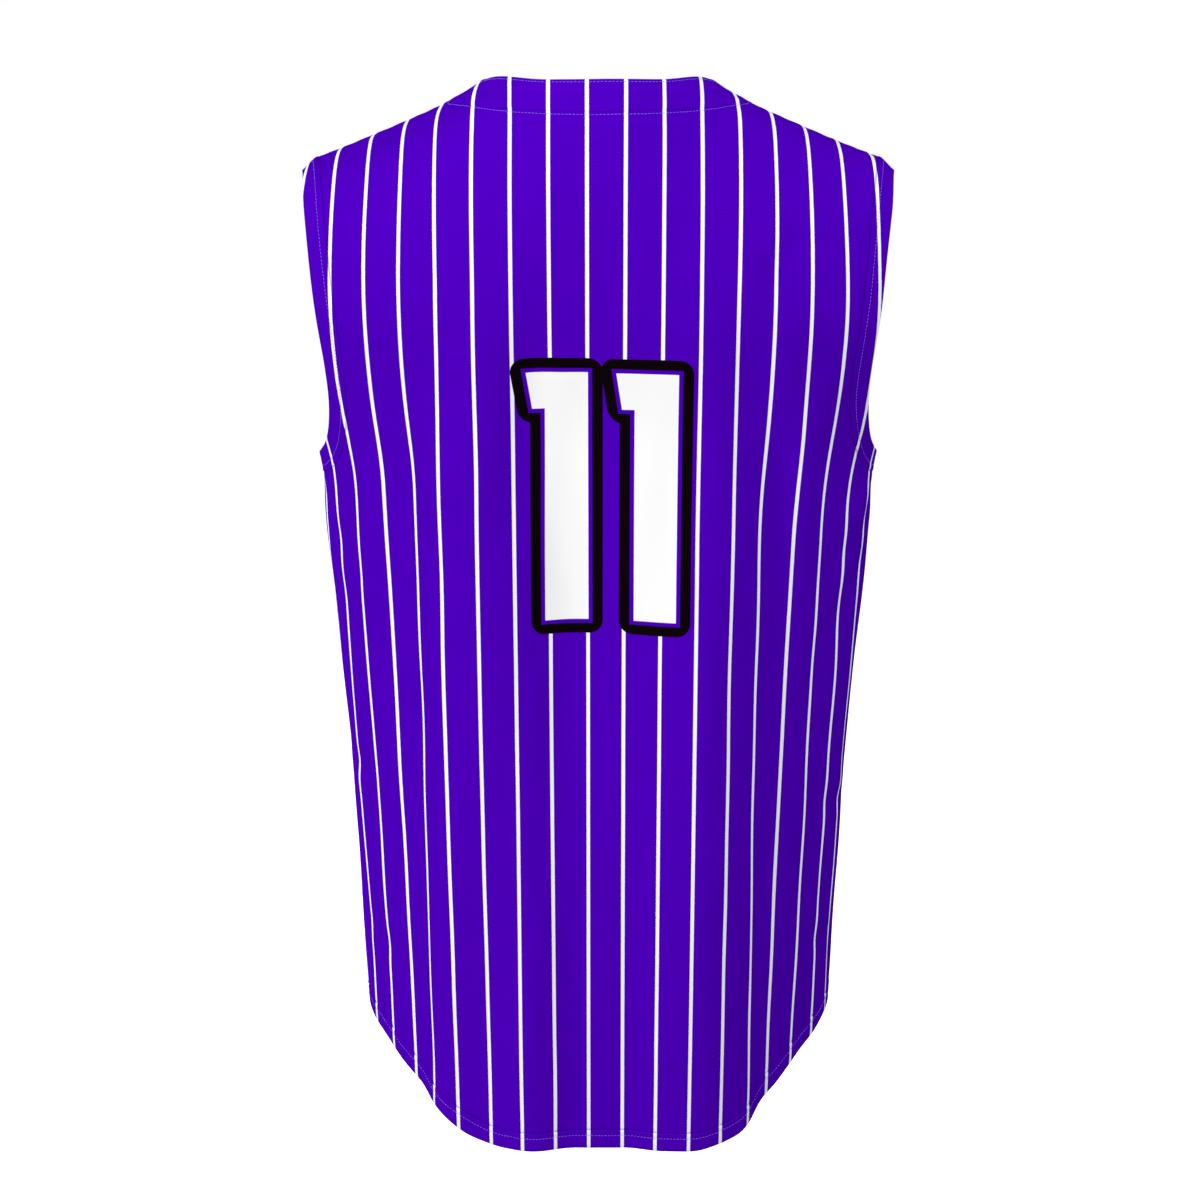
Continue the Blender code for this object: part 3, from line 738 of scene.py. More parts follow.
def turned_relief(gap, station):
    """A turned-up hem: raised, with a furrow at its upper side and under its stitches."""
    raised = TURN_RAISE * ease((TURN_WIDTH + 1.0 - gap) / 1.6)
    furrow = 0.34 * hump(gap - TURN_WIDTH - 1.0, 0.9)
    sewn = 0.2 * hump(gap - TURN_STITCH, 1.2)
    waver = 0.09 * puckers(HEM_PUCKER, station) * ease(gap / 3.0) * ease((TURN_WIDTH - gap) / 5.0)
    rolled = 0.35 * ease(1.0 - gap / 1.3)
    return raised - furrow - sewn + waver - rolled


def cloth_relief(face, across, up):
    """How far the outer side of a panel stands out of the form."""
    turned, seamed, neck = edge_lines(face)
    relief = sum(sewn_relief(*distance_to(line, across, up)) for line in seamed)
    relief = relief + sewn_relief(*distance_to(neck, across, up), NECK_SEAM_DEPTH)
    for line in turned:
        relief = relief + turned_relief(*distance_to(line, across, up))
    tip = ease(1.0 - least_gap(turned[:2], across, up) / TIP_WIDTH) ** 1.5
    tip = tip * ease(1.0 - shoulder_gap(face, across, up) / SHOULDER_REACH)
    relief = relief + drape(face, across, up) - TIP_CURL * tip
    if face == "front":
        under_placket = ease((PLACKET_HALF + 4.0 - np.abs(across)) / 6.0)
        relief = relief + (np.minimum(relief, -0.1) - relief) * under_placket
    return relief


def turned_thickness(face, across, up):
    """Thickness of the cloth: doubled where it is turned up, rounded at every edge."""
    turned, seamed, neck = edge_lines(face)
    gap = least_gap(turned, across, up)
    seam = least_gap(seamed + [neck], across, up)
    layers = CLOTH * (1.0 + 0.75 * ease((TURN_WIDTH - gap) / 1.4))
    layers = layers - 0.35 * ease(1.0 - gap / 1.3) - 0.2 * ease(1.0 - seam / 2.0)
    return np.maximum(layers, 0.5), gap


# ================================================================ meshes
def new_object(name, data):
    item = bpy.data.objects.new(name, data)
    bpy.context.scene.collection.objects.link(item)
    return item


def new_piece(name, points, faces, materials):
    """A smooth mesh object from points in mm."""
    mesh = bpy.data.meshes.new(name)
    mesh.from_pydata((points * METRE).tolist(), [], faces)
    for material in materials:
        mesh.materials.append(material)
    mesh.shade_smooth()
    return new_object(name, mesh)


def cloth_shell(name, outer, inner, quads, flat, flat_quads, gaps, materials):
    """Close a sheet of quads into a cloth with two sides and a rounded rim.

    Outer and inner are the two sides' points in mm, flat the places on the cut, with
    their own corners so that two faces of the form can share a point, and gaps the
    points' distances from the nearest turned edge.
    """
    middle = quads[len(quads) // 2]
    turn = np.cross(outer[middle[1]] - outer[middle[0]], outer[middle[3]] - outer[middle[0]])
    if turn @ (outer[middle[0]] - inner[middle[0]]) < 0:
        quads, flat_quads = quads[:, ::-1], flat_quads[:, ::-1]
    count = len(outer)
    seen = {}
    for face, corner in zip(quads.tolist(), flat_quads.tolist()):
        for step in range(4):
            edge = (face[step], face[(step + 1) % 4])
            seen[edge] = (corner[step], corner[(step + 1) % 4])
    rim = [(edge, corner) for edge, corner in seen.items() if edge[::-1] not in seen]
    push = np.zeros((count, 3))
    for (a, b), _ in rim:
        away = np.cross(outer[b] - outer[a], outer[a] - inner[a])
        away /= np.linalg.norm(away) + 1e-9
        push[a] += away
        push[b] += away
    edge_points = sorted({point for edge, _ in rim for point in edge})
    lengths = np.linalg.norm(push, axis=1, keepdims=True)
    middle = (outer + inner) / 2 + push / np.maximum(lengths, 1e-9) * RIM_BULGE
    middle_index = {point: 2 * count + place for place, point in enumerate(edge_points)}
    faces = quads.tolist() + (quads[:, ::-1] + count).tolist()
    corners = flat_quads.tolist() + flat_quads[:, ::-1].tolist()
    for (a, b), (corner_a, corner_b) in rim:
        faces.append([b, a, middle_index[a], middle_index[b]])
        faces.append([middle_index[b], middle_index[a], a + count, b + count])
        corners += [[corner_b, corner_a, corner_a, corner_b]] * 2
    points = np.concatenate([outer, inner, middle[edge_points]])
    piece = new_piece(name, points, faces, materials)
    cut = piece.data.uv_layers.new(name="cut")
    cut.data.foreach_set("uv", (flat[np.ravel(corners)] * METRE).ravel())
    turn_gap = piece.data.attributes.new("turn_gap", "FLOAT", "POINT")
    turn_gap.data.foreach_set("value", np.concatenate([gaps, gaps, gaps[edge_points]]) * METRE)
    inside = np.zeros(len(faces), dtype=np.int32)
    inside[len(quads):2 * len(quads)] = 1
    piece.data.polygons.foreach_set("material_index", inside)
    return piece


def flat_places(face, across, up):
    """The flat places, with across counted from a pinstripe."""
    return np.stack([across - STRIPE_START[face] * STRIPE_PITCH, up], axis=-1)


def panel_piece(name, face, mesh, materials):
    """A panel of cloth from its flat places and quads."""
    (across, up), quads = mesh[0].T, mesh[1]
    relief = cloth_relief(face, across, up)
    thickness, gap = turned_thickness(face, across, up)
    outer = FORMS[face].place(across, up, relief)
    inner = FORMS[face].place(across, up, relief - thickness)
    return cloth_shell(name, outer, inner, quads, flat_places(face, across, up), quads, gap,
                       materials)


def build_back(materials):
    """The back in one piece, its halves joined on the centre line."""
    lap = even(0.0, neck_line("back")[0][0], COLUMN_STEP)[:-1]
    halves = (panel_mesh("back", side, lap) for side in (1, -1))
    return panel_piece("back_cloth", "back", joined_halves(*halves), materials)


def build_front(name, side, materials):
    """A front: the wearer's left one ends under the placket, the right one laps on."""
    lap = [] if side > 0 else np.linspace(-RIGHT_EDGE, LEFT_EDGE, 8)[:-1]
    return panel_piece(name, "front", panel_mesh("front", side, lap), materials)


# ================================================================ neck band and placket
BAND_SHARES = np.array([0.0, 0.05, 0.12, 0.22, 0.36, 0.5, 0.64, 0.78, 0.86, 0.92, 0.965, 1.0])
BAND_TURN = 1.35            # how much closer the band's points lie towards the shoulders


def band_edges(face, across):
    """The seam and the free edge of the neck band at one place on the neck seam."""
    share = abs(across) / NECK_HALF
    edge_half = NECK_HALF - BAND_WIDTH
    edge_across = across * edge_half / NECK_HALF
    if face == "back":
        crest = shoulder_point(edge_half)[2]
        height = NECK_EDGE_BACK + (crest - NECK_EDGE_BACK) * share ** 2
        height += BAND_RISE * 4.0 * share ** 4 * (1.0 - share ** 4)
        edge_up = up_of_height("back", edge_across, height)
    else:
        point = V_POINT - CHEST + BAND_AT_V
        edge_up = point + (arch_length("front", edge_half) - point) * share ** V_CURVE
    return (across, neck_seam(face, across) - SEAM_CLOSED), (edge_across, edge_up)


def band_lines(face, places):
    """Both edges of the band as lines on the flat cut."""
    lower, upper = zip(*(band_edges(face, place) for place in places))
    return np.array(lower), np.array(upper)


def band_relief(share, station):
    """The doubled band: plump, rolled at both edges, drawn in under its stitches."""
    from_seam, from_edge = share * BAND_WIDTH, (1.0 - share) * BAND_WIDTH
    relief = 0.35 - 0.35 * ease(1.0 - from_seam / 3.0) ** 1.5
    relief = relief - 0.45 * ease(1.0 - from_edge / 1.4)
    relief = relief - 0.22 * hump(from_edge - EDGE_STITCH, 1.0)
    return relief + (0.12 * puckers(BAND_PUCKER, station) * ease(from_seam / 3.0)
                     * ease(1.0 - share))


def band_patch(face, places):
    """One stretch of the band: its two sides and its flat places."""
    lower, upper = band_lines(face, places)
    flat = lower[:, None] + (upper - lower)[:, None] * BAND_SHARES[:, None]
    across, up = flat[..., 0], flat[..., 1]
    share = np.broadcast_to(BAND_SHARES, across.shape)
    relief = band_relief(share, stations(lower)[:, None]) + drape(face, across, up)
    body = 2.0 * CLOTH * (1.0 - 0.3 * ease(1.0 - share / 0.08) - 0.35 * ease(share / 0.05 - 19.0))
    return (FORMS[face].place(across, up, relief), FORMS[face].place(across, up, relief - body),
            flat_places(face, across, up))


def build_neck_band(materials):
    """The band runs once round the neck and closes on itself at the shoulders."""
    back = NECK_HALF * np.sin(np.linspace(-BAND_TURN, BAND_TURN, 84)) / np.sin(BAND_TURN)
    front = NECK_HALF * np.linspace(1.0, -1.0, 201)
    patches = [band_patch("back", back), band_patch("front", front)]
    sides = []
    for back_points, front_points in zip(patches[0][:2], patches[1][:2]):
        ring = np.concatenate([back_points, front_points[1:-1]])
        ring[len(back) - 1] = (back_points[-1] + front_points[0]) / 2
        ring[0] = (back_points[0] + front_points[-1]) / 2
        sides.append(ring.reshape(-1, 3))
    width = len(BAND_SHARES)
    turns = len(back) + len(front) - 2
    index = np.arange(turns * width).reshape(turns, width)
    quads = grid_quads(np.concatenate([index, index[:1]]))
    flat_index = np.arange((len(back) + len(front)) * width).reshape(-1, width)
    flat_quads = np.concatenate([grid_quads(flat_index[:len(back)]),
                                 grid_quads(flat_index[len(back):])])
    flat = np.concatenate([patch[2].reshape(-1, 2) for patch in patches])
    return cloth_shell("neck_band_cloth", *sides, quads, flat, flat_quads,
                       np.ones(turns * width), materials)


HALF_SHARES = (0.12, 0.25, 0.4, 0.55, 0.7, 0.79, 0.86, 0.92, 0.965, 1.0)
PLACKET_SHARES = np.array([-share for share in HALF_SHARES[::-1]] + [0.0, *HALF_SHARES])
END_ROWS = np.array([0.0, 0.7, 1.6, 3.0])
END_ROLL, TOP_ROLL = 0.0022, 0.9977     # how long an end rolls and where the top one starts


def button_ups():
    return np.linspace(FIRST_BUTTON, LAST_BUTTON, BUTTON_COUNT) - CHEST


def placket_relief(across, up, climb):
    """The placket between its edges: rolled, stitched, and drawn in at each button."""
    from_edge = PLACKET_HALF - np.abs(across)
    relief = PLACKET_TOP - 0.7 * ease(1.0 - from_edge / 1.6)
    relief = relief - 0.25 * hump(from_edge - PLACKET_STITCH, 1.1)
    relief = relief + (0.1 * puckers(PLACKET_PUCKER, up)
                       * ease(1.0 - np.abs(from_edge - 4.5) / 6.0))
    for button_up in button_ups():
        relief = relief - 0.35 * hump(up - button_up, 9.0) * hump(across, 11.0)
    return (relief - 0.5 * ease(1.0 - climb / END_ROLL)
            - 0.4 * ease((climb - TOP_ROLL) / END_ROLL))


def build_placket(materials):
    """The doubled front band, from the point of the V down to the hem."""
    length = panel_top("front", 0.0) - hem("front", 0.0)
    climb = np.concatenate([END_ROWS, np.linspace(5.0, length - 5.0, 170),
                            length - END_ROWS[::-1]])[:, None] / length
    across = PLACKET_SHARES * PLACKET_HALF
    bottom, top = hem("front", across), panel_tops("front", across)
    across = np.broadcast_to(across, (len(climb), len(across)))
    up = bottom + (top - bottom) * climb
    sides = [FORMS["front"].place(across, up, lift).reshape(-1, 3)
             for lift in (placket_relief(across, up, climb), PLACKET_LIFT)]
    quads = grid_quads(np.arange(across.size).reshape(across.shape))
    flat = flat_places("placket", across, up).reshape(-1, 2)
    return cloth_shell("placket_cloth", *sides, quads, flat, quads, np.ones(across.size),
                       materials)


# ================================================================ modelling tools
def nothing_selected():
    if bpy.context.object and bpy.context.object.mode != "OBJECT":
        bpy.ops.object.mode_set(mode="OBJECT")
    bpy.ops.object.select_all(action="DESELECT")


def select_facing(piece, direction):
    """Select, in edit mode, the faces that look in a direction."""
    bpy.ops.object.mode_set(mode="OBJECT")
    for part in (piece.data.vertices, piece.data.edges, piece.data.polygons):
        part.foreach_set("select", np.zeros(len(part), dtype=bool))
    for polygon in piece.data.polygons:
        polygon.select = polygon.normal.dot(Vector(direction)) > 0.9
    bpy.ops.object.mode_set(mode="EDIT")
    bpy.ops.mesh.select_mode(type="FACE")


def apply_all(piece):
    nothing_selected()
    bpy.context.view_layer.objects.active = piece
    piece.select_set(True)
    for modifier in list(piece.modifiers):
        bpy.ops.object.modifier_apply(modifier=modifier.name)


def cut_with(piece, cutter):
    cut = piece.modifiers.new("hole", "BOOLEAN")
    cut.operation, cut.solver, cut.object = "DIFFERENCE", "EXACT", cutter
    apply_all(piece)
    bpy.data.objects.remove(cutter, do_unlink=True)


# ================================================================ sewing
def stitch_mesh():
    """One stitch: a short thread with ends that dip into the cloth, along X."""
    nothing_selected()
    bpy.ops.mesh.primitive_uv_sphere_add(segments=6, ring_count=4, radius=THREAD / 2)
    stitch = bpy.context.object
    bpy.ops.object.mode_set(mode="EDIT")
    bpy.ops.mesh.select_all(action="SELECT")
    bpy.ops.transform.rotate(value=pi / 2, orient_axis="Y", center_override=(0, 0, 0))
    bpy.ops.object.mode_set(mode="OBJECT")
    half = (STITCH_LENGTH - THREAD) / 2
    for vertex in stitch.data.vertices:
        if abs(vertex.co.x) > 0.01:
            vertex.co.x += copysign(half, vertex.co.x)
            vertex.co.z -= STITCH_DIP
    points = np.array([vertex.co[:] for vertex in stitch.data.vertices])
    faces = [list(face.vertices) for face in stitch.data.polygons]
    bpy.data.objects.remove(stitch, do_unlink=True)
    return points, faces


def sewn_line(name, runs, material):
    """Sew stitches along runs of (face, flat line, how far out of the form)."""
    template, template_faces = stitch_mesh()
    vertices, faces = [], []
    for face, line, lift in runs:
        spots = FORMS[face].place(*line.T, lift)
        outward = FORMS[face].normal(*line.T)
        station = stations(spots)
        for middle in np.arange(STITCH_PITCH / 2, station[-1], STITCH_PITCH):
            here, before, after = (
                read_line(middle + shift, station, spots) for shift in (0.0, -0.6, 0.6))
            run = unit(after - before)
            side = unit(np.cross(read_line(middle, station, outward), run))
            count = len(template) * len(vertices)
            vertices.append(here + template @ np.stack([run, side, np.cross(run, side)]))
            faces += [[corner + count for corner in corners] for corners in template_faces]
    return new_piece(name, np.concatenate(vertices), faces, [material])


def inset_line(line, distance, towards):
    """Move a line on the flat cut sideways, towards a place inside the panel."""
    run = np.gradient(line, axis=0)
    normal = unit(np.stack([-run[:, 1], run[:, 0]], axis=1))
    middle = len(line) // 2
    if normal[middle] @ (np.array(towards) - line[middle]) < 0:
        normal = -normal
    return line + normal * distance


def dense(line):
    """Put points close together along a line on the flat cut."""
    station = stations(line)
    return read_line(np.arange(0.0, station[-1], 1.2), station, line)


def panel_run(face, line, extra=0.12):
    """A run of stitches that lies on a panel's own relief."""
    line = dense(line)
    return face, line, cloth_relief(face, *line.T) + extra


def build_sewing(material):
    """The topstitching of the armholes, the hems, the neck band and the placket."""
    runs = {}
    for face in FACES:
        *arms, tail = edge_lines(face)[0]
        for line, side in zip(arms, ("left", "right")):
            run = inset_line(line, TURN_STITCH, (copysign(120.0, line[0, 0]), -150.0))
            run = run[run[:, 1] < panel_top(face, abs(run[-1, 0])) - 0.5]
            runs[f"armhole_stitches_{face}_{side}"] = [panel_run(face, run)]
        run = inset_line(tail, TURN_STITCH, (0.0, -300.0))
        parts = [run]
        if face == "front":
            beside = PLACKET_HALF + 1.0
            parts = [run[run[:, 0] > beside], run[run[:, 0] < -beside]]
        runs[f"hem_stitches_{face}"] = [panel_run(face, part) for part in parts]
    places = np.linspace(-NECK_HALF, NECK_HALF, 160)
    seams = {face: np.stack([places, panel_tops(face, places)], axis=1) for face in FACES}
    neck = runs["neck_stitches"] = [
        panel_run("back", inset_line(seams["back"], SEAM_STITCH, (0.0, -100.0)), 0.2)]
    for part in (seams["front"][places > 2.0], seams["front"][places < -2.0]):
        aim = (copysign(150.0, part[0, 0]), -100.0)
        neck.append(panel_run("front", inset_line(part, SEAM_STITCH, aim), 0.2))
    for face in FACES:
        lower, upper = band_lines(face, np.linspace(-NECK_HALF, NECK_HALF, 220))
        line = dense(lower + (upper - lower) * (1.0 - EDGE_STITCH / BAND_WIDTH))
        neck.append((face, line, 0.34 + drape(face, *line.T)))
    placket = runs["placket_stitches"] = []
    ends = hem("front", 0.0) + 3.0, panel_top("front", 0.0) + 3.0
    for place in (PLACKET_HALF - PLACKET_STITCH, PLACKET_STITCH - PLACKET_HALF):
        line = dense(np.array([(place, end) for end in ends]))
        placket.append(("front", line, placket_relief(*line.T, 0.5) + 0.1))
    return [sewn_line(name, parts, material) for name, parts in runs.items()]


# ================================================================ buttons
def model_button():
    """A resin button: rounded back, raised rim, dished middle and four holes."""
    nothing_selected()
    bpy.ops.mesh.primitive_cylinder_add(
        vertices=48, radius=BUTTON_RADIUS * METRE, depth=BUTTON_THICK * METRE,
        location=(0, 0, BUTTON_THICK / 2 * METRE))
    button = bpy.context.object
    bpy.ops.object.transform_apply(location=True, rotation=True, scale=True)
    select_facing(button, (0, 0, 1))
    bpy.ops.mesh.inset(thickness=BUTTON_RIM * METRE, depth=0.0)
    bpy.ops.mesh.inset(thickness=0.7 * METRE, depth=-BUTTON_DISH * METRE)
    bpy.ops.mesh.inset(thickness=1.2 * METRE, depth=0.0)
    select_facing(button, (0, 0, -1))
    bpy.ops.mesh.inset(thickness=1.0 * METRE, depth=0.0)
    bpy.ops.transform.translate(value=(0, 0, -0.25 * METRE))
    nothing_selected()
    for across in (-HOLE_PLACE, HOLE_PLACE):
        for up in (-HOLE_PLACE, HOLE_PLACE):
            bpy.ops.mesh.primitive_cylinder_add(
                vertices=14, radius=HOLE_RADIUS * METRE, depth=4 * BUTTON_THICK * METRE,
                location=(across * METRE, up * METRE, 0))
            cut_with(button, bpy.context.object)
    bevel = button.modifiers.new("edges", "BEVEL")
    bevel.width, bevel.segments = 0.22 * METRE, 2
    bevel.limit_method, bevel.angle_limit = "ANGLE", radians(28)
    apply_all(button)
    button.data.shade_smooth()
    return button


def model_strand():
    """The thread that ties a button down: two bars of three strands each."""
    nothing_selected()
    bars = []
    for up in (-HOLE_PLACE, HOLE_PLACE):
        for shift in STRAND_SHIFTS:
            height = BUTTON_THICK - BUTTON_DISH + 0.2 - abs(shift) * 0.3
            bpy.ops.mesh.primitive_cylinder_add(
                vertices=8, radius=STRAND_RADIUS * METRE, depth=2 * HOLE_PLACE * METRE,
                rotation=(0, pi / 2, 0), location=(0, (up + shift) * METRE, height * METRE))
            bar = bpy.context.object
            bpy.ops.object.transform_apply(location=True, rotation=True, scale=True)
            for way in (-1, 1):
                select_facing(bar, (way, 0, 0))
                for out, down in ((0.28, 0.22), (0.06, 1.3)):
                    bpy.ops.mesh.extrude_region_move(TRANSFORM_OT_translate={
                        "value": (way * out * METRE, 0, -down * METRE)})
            nothing_selected()
            bars.append(bar)
    for bar in bars:
        bar.select_set(True)
    bpy.context.view_layer.objects.active = bars[0]
    bpy.ops.object.join()
    strands = bpy.context.object
    strands.data.shade_smooth()
    return strands


def model_buttonhole():
    """A ring of satin stitches round a slit, long in Y."""
    nothing_selected()
    bpy.ops.mesh.primitive_torus_add(
        major_segments=96, minor_segments=8, major_radius=BUTTONHOLE_WIDTH * METRE,
        minor_radius=SATIN * METRE)
    ring = bpy.context.object
    for vertex in ring.data.vertices:
        turn = np.arctan2(vertex.co.y, vertex.co.x)
        vertex.co.z *= 0.42 * (1.0 + 0.09 * np.sin(48 * turn))
        vertex.co.x *= 0.95
        vertex.co.y += copysign((BUTTONHOLE_HALF - BUTTONHOLE_WIDTH) * METRE, vertex.co.y)
    ring.data.shade_smooth()
    return ring


def seat_on_placket(up, lift):
    """Where something lies on the placket: its place, with Z pointing out."""
    spot = Vector(FORMS["front"].place(0.0, up, lift)) * METRE
    turn = Vector(FORMS["front"].normal(0.0, up)).to_track_quat("Z", "Y")
    return Matrix.Translation(spot) @ turn.to_matrix().to_4x4()


def copies_on_placket(model, name, lift, material):
    """Copy one modelled piece to each button's place, each with its own mesh."""
    pieces = []
    for number, up in enumerate(button_ups(), start=1):
        data = model.data.copy()
        data.name = f"{name}_{number}"
        data.transform(seat_on_placket(up, lift))
        data.materials.clear()
        data.materials.append(material)
        pieces.append(new_object(f"{name}_{number}", data))
    bpy.data.objects.remove(model, do_unlink=True)
    return pieces


# ================================================================ materials
class Wire:
    """A node's output that can stand in sums; each operation adds its Math node."""

    def __init__(self, recipe, socket):
        self.recipe, self.socket = recipe, socket

    def math(self, operation, *others):
        node = self.recipe.node("Math", {"operation": operation},
                                dict(enumerate((self, *others))))
        return Wire(self.recipe, node.outputs[0])

    __add__ = __radd__ = partialmethod(math, "ADD")
    __sub__ = partialmethod(math, "SUBTRACT")
    __rsub__ = partialmethod(math, "MULTIPLY_ADD", -1.0)
    __mul__ = __rmul__ = partialmethod(math, "MULTIPLY")
    __truediv__ = partialmethod(math, "DIVIDE")
    __abs__ = partialmethod(math, "ABSOLUTE")
    least, most = partialmethod(math, "MINIMUM"), partialmethod(math, "MAXIMUM")
    fraction, whole = partialmethod(math, "FRACT"), partialmethod(math, "FLOOR")
    wave, root = partialmethod(math, "SINE"), partialmethod(math, "SQRT")

    def rising(self, low, high):
        """0 below low and 1 above high, smoothly; high may be the smaller."""
        node = self.recipe.node(
            "MapRange", {"interpolation_type": "SMOOTHSTEP"},
            {"Value": self, "From Min": low, "From Max": high})
        return Wire(self.recipe, node.outputs[0])


class Recipe:
    """A material or a world under way: its nodes and its shader."""

    def __init__(self, owner, shader, constants):
        self.owner = owner
        owner.use_nodes = True
        self.tree = owner.node_tree
        self.shader = self.tree.nodes[shader]
        self.feed(self.shader, constants)

    def node(self, kind, settings=None, values=None):
        """Add a node: its settings first, then the values or links of its sockets."""
        node = self.tree.nodes.new("ShaderNode" + kind)
        for key, value in (settings or {}).items():
            setattr(node, key, value)
        self.feed(node, values or {})
        return node

    def feed(self, node, values):
        for key, value in values.items():
            socket = node.inputs[key]
            if isinstance(value, Wire):
                value = value.socket
            if isinstance(value, bpy.types.NodeSocket):
                self.tree.links.new(value, socket)
            elif isinstance(value, tuple) and socket.type == "RGBA":
                socket.default_value = (*value, 1.0)
            else:
                socket.default_value = value

    def split(self, vector):
        """The three parts of a vector."""
        return [Wire(self, part) for part in self.node("SeparateXYZ", values={0: vector}).outputs]

    def place(self, kind="Object"):
        return self.node("TexCoord").outputs[kind]

    def noise(self, vector, scale, detail=2.0):
        node = self.node("TexNoise", values={"Vector": vector, "Scale": scale, "Detail": detail})
        return Wire(self, node.outputs[0])

    def mix(self, share, first, second):
        """Mix two colours."""
        node = self.node("Mix", {"data_type": "RGBA"}, {0: share, 6: first, 7: second})
        return node.outputs[2]

    def finish(self, colour, roughness, height, strength, distance):
        """Join colour, roughness and relief to the shader."""
        bump = self.node("Bump", values={"Strength": strength, "Distance": distance,
                                         "Height": height})
        self.feed(self.shader, {"Base Color": colour, "Roughness": roughness,
                                "Normal": bump.outputs[0]})
        return self.owner


def new_recipe(name, constants):
    return Recipe(bpy.data.materials.new(name), "Principled BSDF", constants)


def block_distances(across, up, left, right, foot, top):
    """How far a place lies outside a block, with its corners taken as round and square."""
    off_side = (left - across).most(across - right)
    off_level = (foot - up).most(up - top)
    side, level = off_side.most(0.0), off_level.most(0.0)
    square = off_side.most(off_level)
    return (side * side + level * level).root() + square.least(0.0), square


def digit_distances(across, up):
    """Distances outside the two digits, with round and with square corners."""
    blocks = []
    for inner in DIGIT_STEMS:
        outer = inner + STEM_WIDTH
        slope = (FLAG_TOP - FLAG_FOOT) / FLAG_DEPTH
        flag_edge = (up - DIGIT_TOP) * slope + (outer + FLAG_TOP)
        blocks.append(block_distances(across, up, inner, outer, DIGIT_FOOT, DIGIT_TOP))
        blocks.append(block_distances(across, up, inner, flag_edge, DIGIT_TOP - FLAG_DEPTH,
                                      DIGIT_TOP))
    rounds, squares = zip(*blocks)
    return [first.least(second).least(third.least(fourth))
            for first, second, third, fourth in (rounds, squares)]


def knit_material(name, numbered=False, inside=False):
    """Purple mesh knit with white pinstripes, its pattern laid on the flat cut, and painted shade
    in the furrow above each turned hem.
    """
    cloth = new_recipe(name, {"Specular IOR Level": 0.0})
    cut = cloth.node("UVMap", {"uv_map": "cut"}).outputs[0]
    across, up = (part / METRE for part in cloth.split(cut)[:2])
    place = cloth.node("CombineXYZ", values={0: across, 1: up}).outputs[0]
    # loops of the knit, and small eyelets in staggered rows
    loops = ((across * (2 * pi / LOOP_ACROSS)).wave() * 0.5
             + (up * (2 * pi / LOOP_UP)).wave() * 0.35)
    row = up / EYE_UP
    shift = (row.whole() * 0.5).fraction()
    eye_across = ((across / EYE_ACROSS + shift).fraction() - 0.5) * EYE_ACROSS
    eye_up = (row.fraction() - 0.5) * EYE_UP
    eyelet = (eye_across * eye_across + eye_up * eye_up).root().rising(0.62, 0.28)
    # pinstripes, their edges a little uneven where they cross the loops
    waver = (up * (pi / LOOP_UP)).wave() * 0.045
    to_stripe = abs((across / STRIPE_PITCH + 0.5).fraction() - 0.5) * STRIPE_PITCH + waver
    stripe = to_stripe.rising(STRIPE_WIDTH / 2 + STRIPE_BLUR, STRIPE_WIDTH / 2 - STRIPE_BLUR)
    drift = cloth.noise(place, 0.035, 3.0)
    purple = cloth.mix(drift.rising(0.3, 0.75) * 0.16, PURPLE, PURPLE_LIGHT)
    purple = cloth.mix(eyelet * 0.8, purple, PURPLE_LIGHT)
    turn_gap = Wire(cloth, cloth.node("Attribute", {"attribute_name": "turn_gap"}).outputs["Fac"])
    # the furrow above each turned hem: a groove in the bump, and painted shade in the colour
    furrow = abs(turn_gap / METRE - (TURN_WIDTH + 1.0)).rising(0.85, 0.25)
    colour = cloth.mix(stripe * (0.55 if inside else 1.0), purple, WHITE)
    height = loops * 0.2 - eyelet * 0.5 - furrow * 2.0
    roughness = drift * 0.1 + 0.55 + eyelet * 0.1
    if numbered:
        rounded, square = digit_distances(across + STRIPE_START["back"] * STRIPE_PITCH, up)
        prints = ((rounded, GAP_WIDTH + OUTLINE_WIDTH, BLACK), (square, GAP_WIDTH, PURPLE),
                  (square, 0.0, WHITE))
        layers = [(distance.rising(edge + NUMBER_BLUR, edge - NUMBER_BLUR), paint)
                  for distance, edge, paint in prints]
        for layer, paint in layers:
            colour = cloth.mix(layer, colour, paint)
        height = height + layers[0][0] * 0.35
        roughness = roughness - layers[0][0] * 0.12
    # painted shade: the furrow above each turned hem is darkened towards a deeper purple, on top
    # of its bump
    colour = cloth.mix(furrow * 0.45, colour, PAINTED_FURROW_SHADE)
    return cloth.finish(colour, roughness, height, 0.35, 0.00012)


def thread_material(name, colour):
    """Spun polyester thread, twisted."""
    spun = new_recipe(name, {"Specular IOR Level": 0.1})
    spot = spun.place()
    x, y, z = (part / METRE for part in spun.split(spot))
    twist = ((x + y + z) * (2 * pi / TWIST)).wave()
    dull = tuple(0.72 * part for part in colour)
    return spun.finish(spun.mix(twist * 0.25 + 0.25, colour, dull),
                       spun.noise(spot, 900.0) * 0.2 + 0.5, twist, 0.4, 0.00006)


def button_material():
    """Pearly resin with slow clouds in it."""
    pearl = new_recipe("button_pearl", {"Coat Weight": 0.35, "Coat Roughness": 0.12})
    spot = pearl.place()
    clouds = pearl.noise(spot, 240.0, 3.0)
    return pearl.finish(pearl.mix(clouds.rising(0.35, 0.7) * 0.8, PEARL, PEARL_SHADE),
                        clouds * 0.16 + 0.2, pearl.noise(spot, 2600.0), 0.08, 0.00005)


def floor_material():
    """A pale floor that glows a little, so that no shadow greys it."""
    pale = new_recipe("pale_floor", {"Specular IOR Level": 0.2, "Emission Color": (1.0, 1.0, 1.0),
                                     "Emission Strength": FLOOR_GLOW})
    tone = pale.noise(pale.place(), 1.5)
    return pale.finish(pale.mix(tone * 0.04, FLOOR_COLOUR, FLOOR_SHADE),
                       tone * 0.05 + 0.7, tone, 0.05, 0.001)


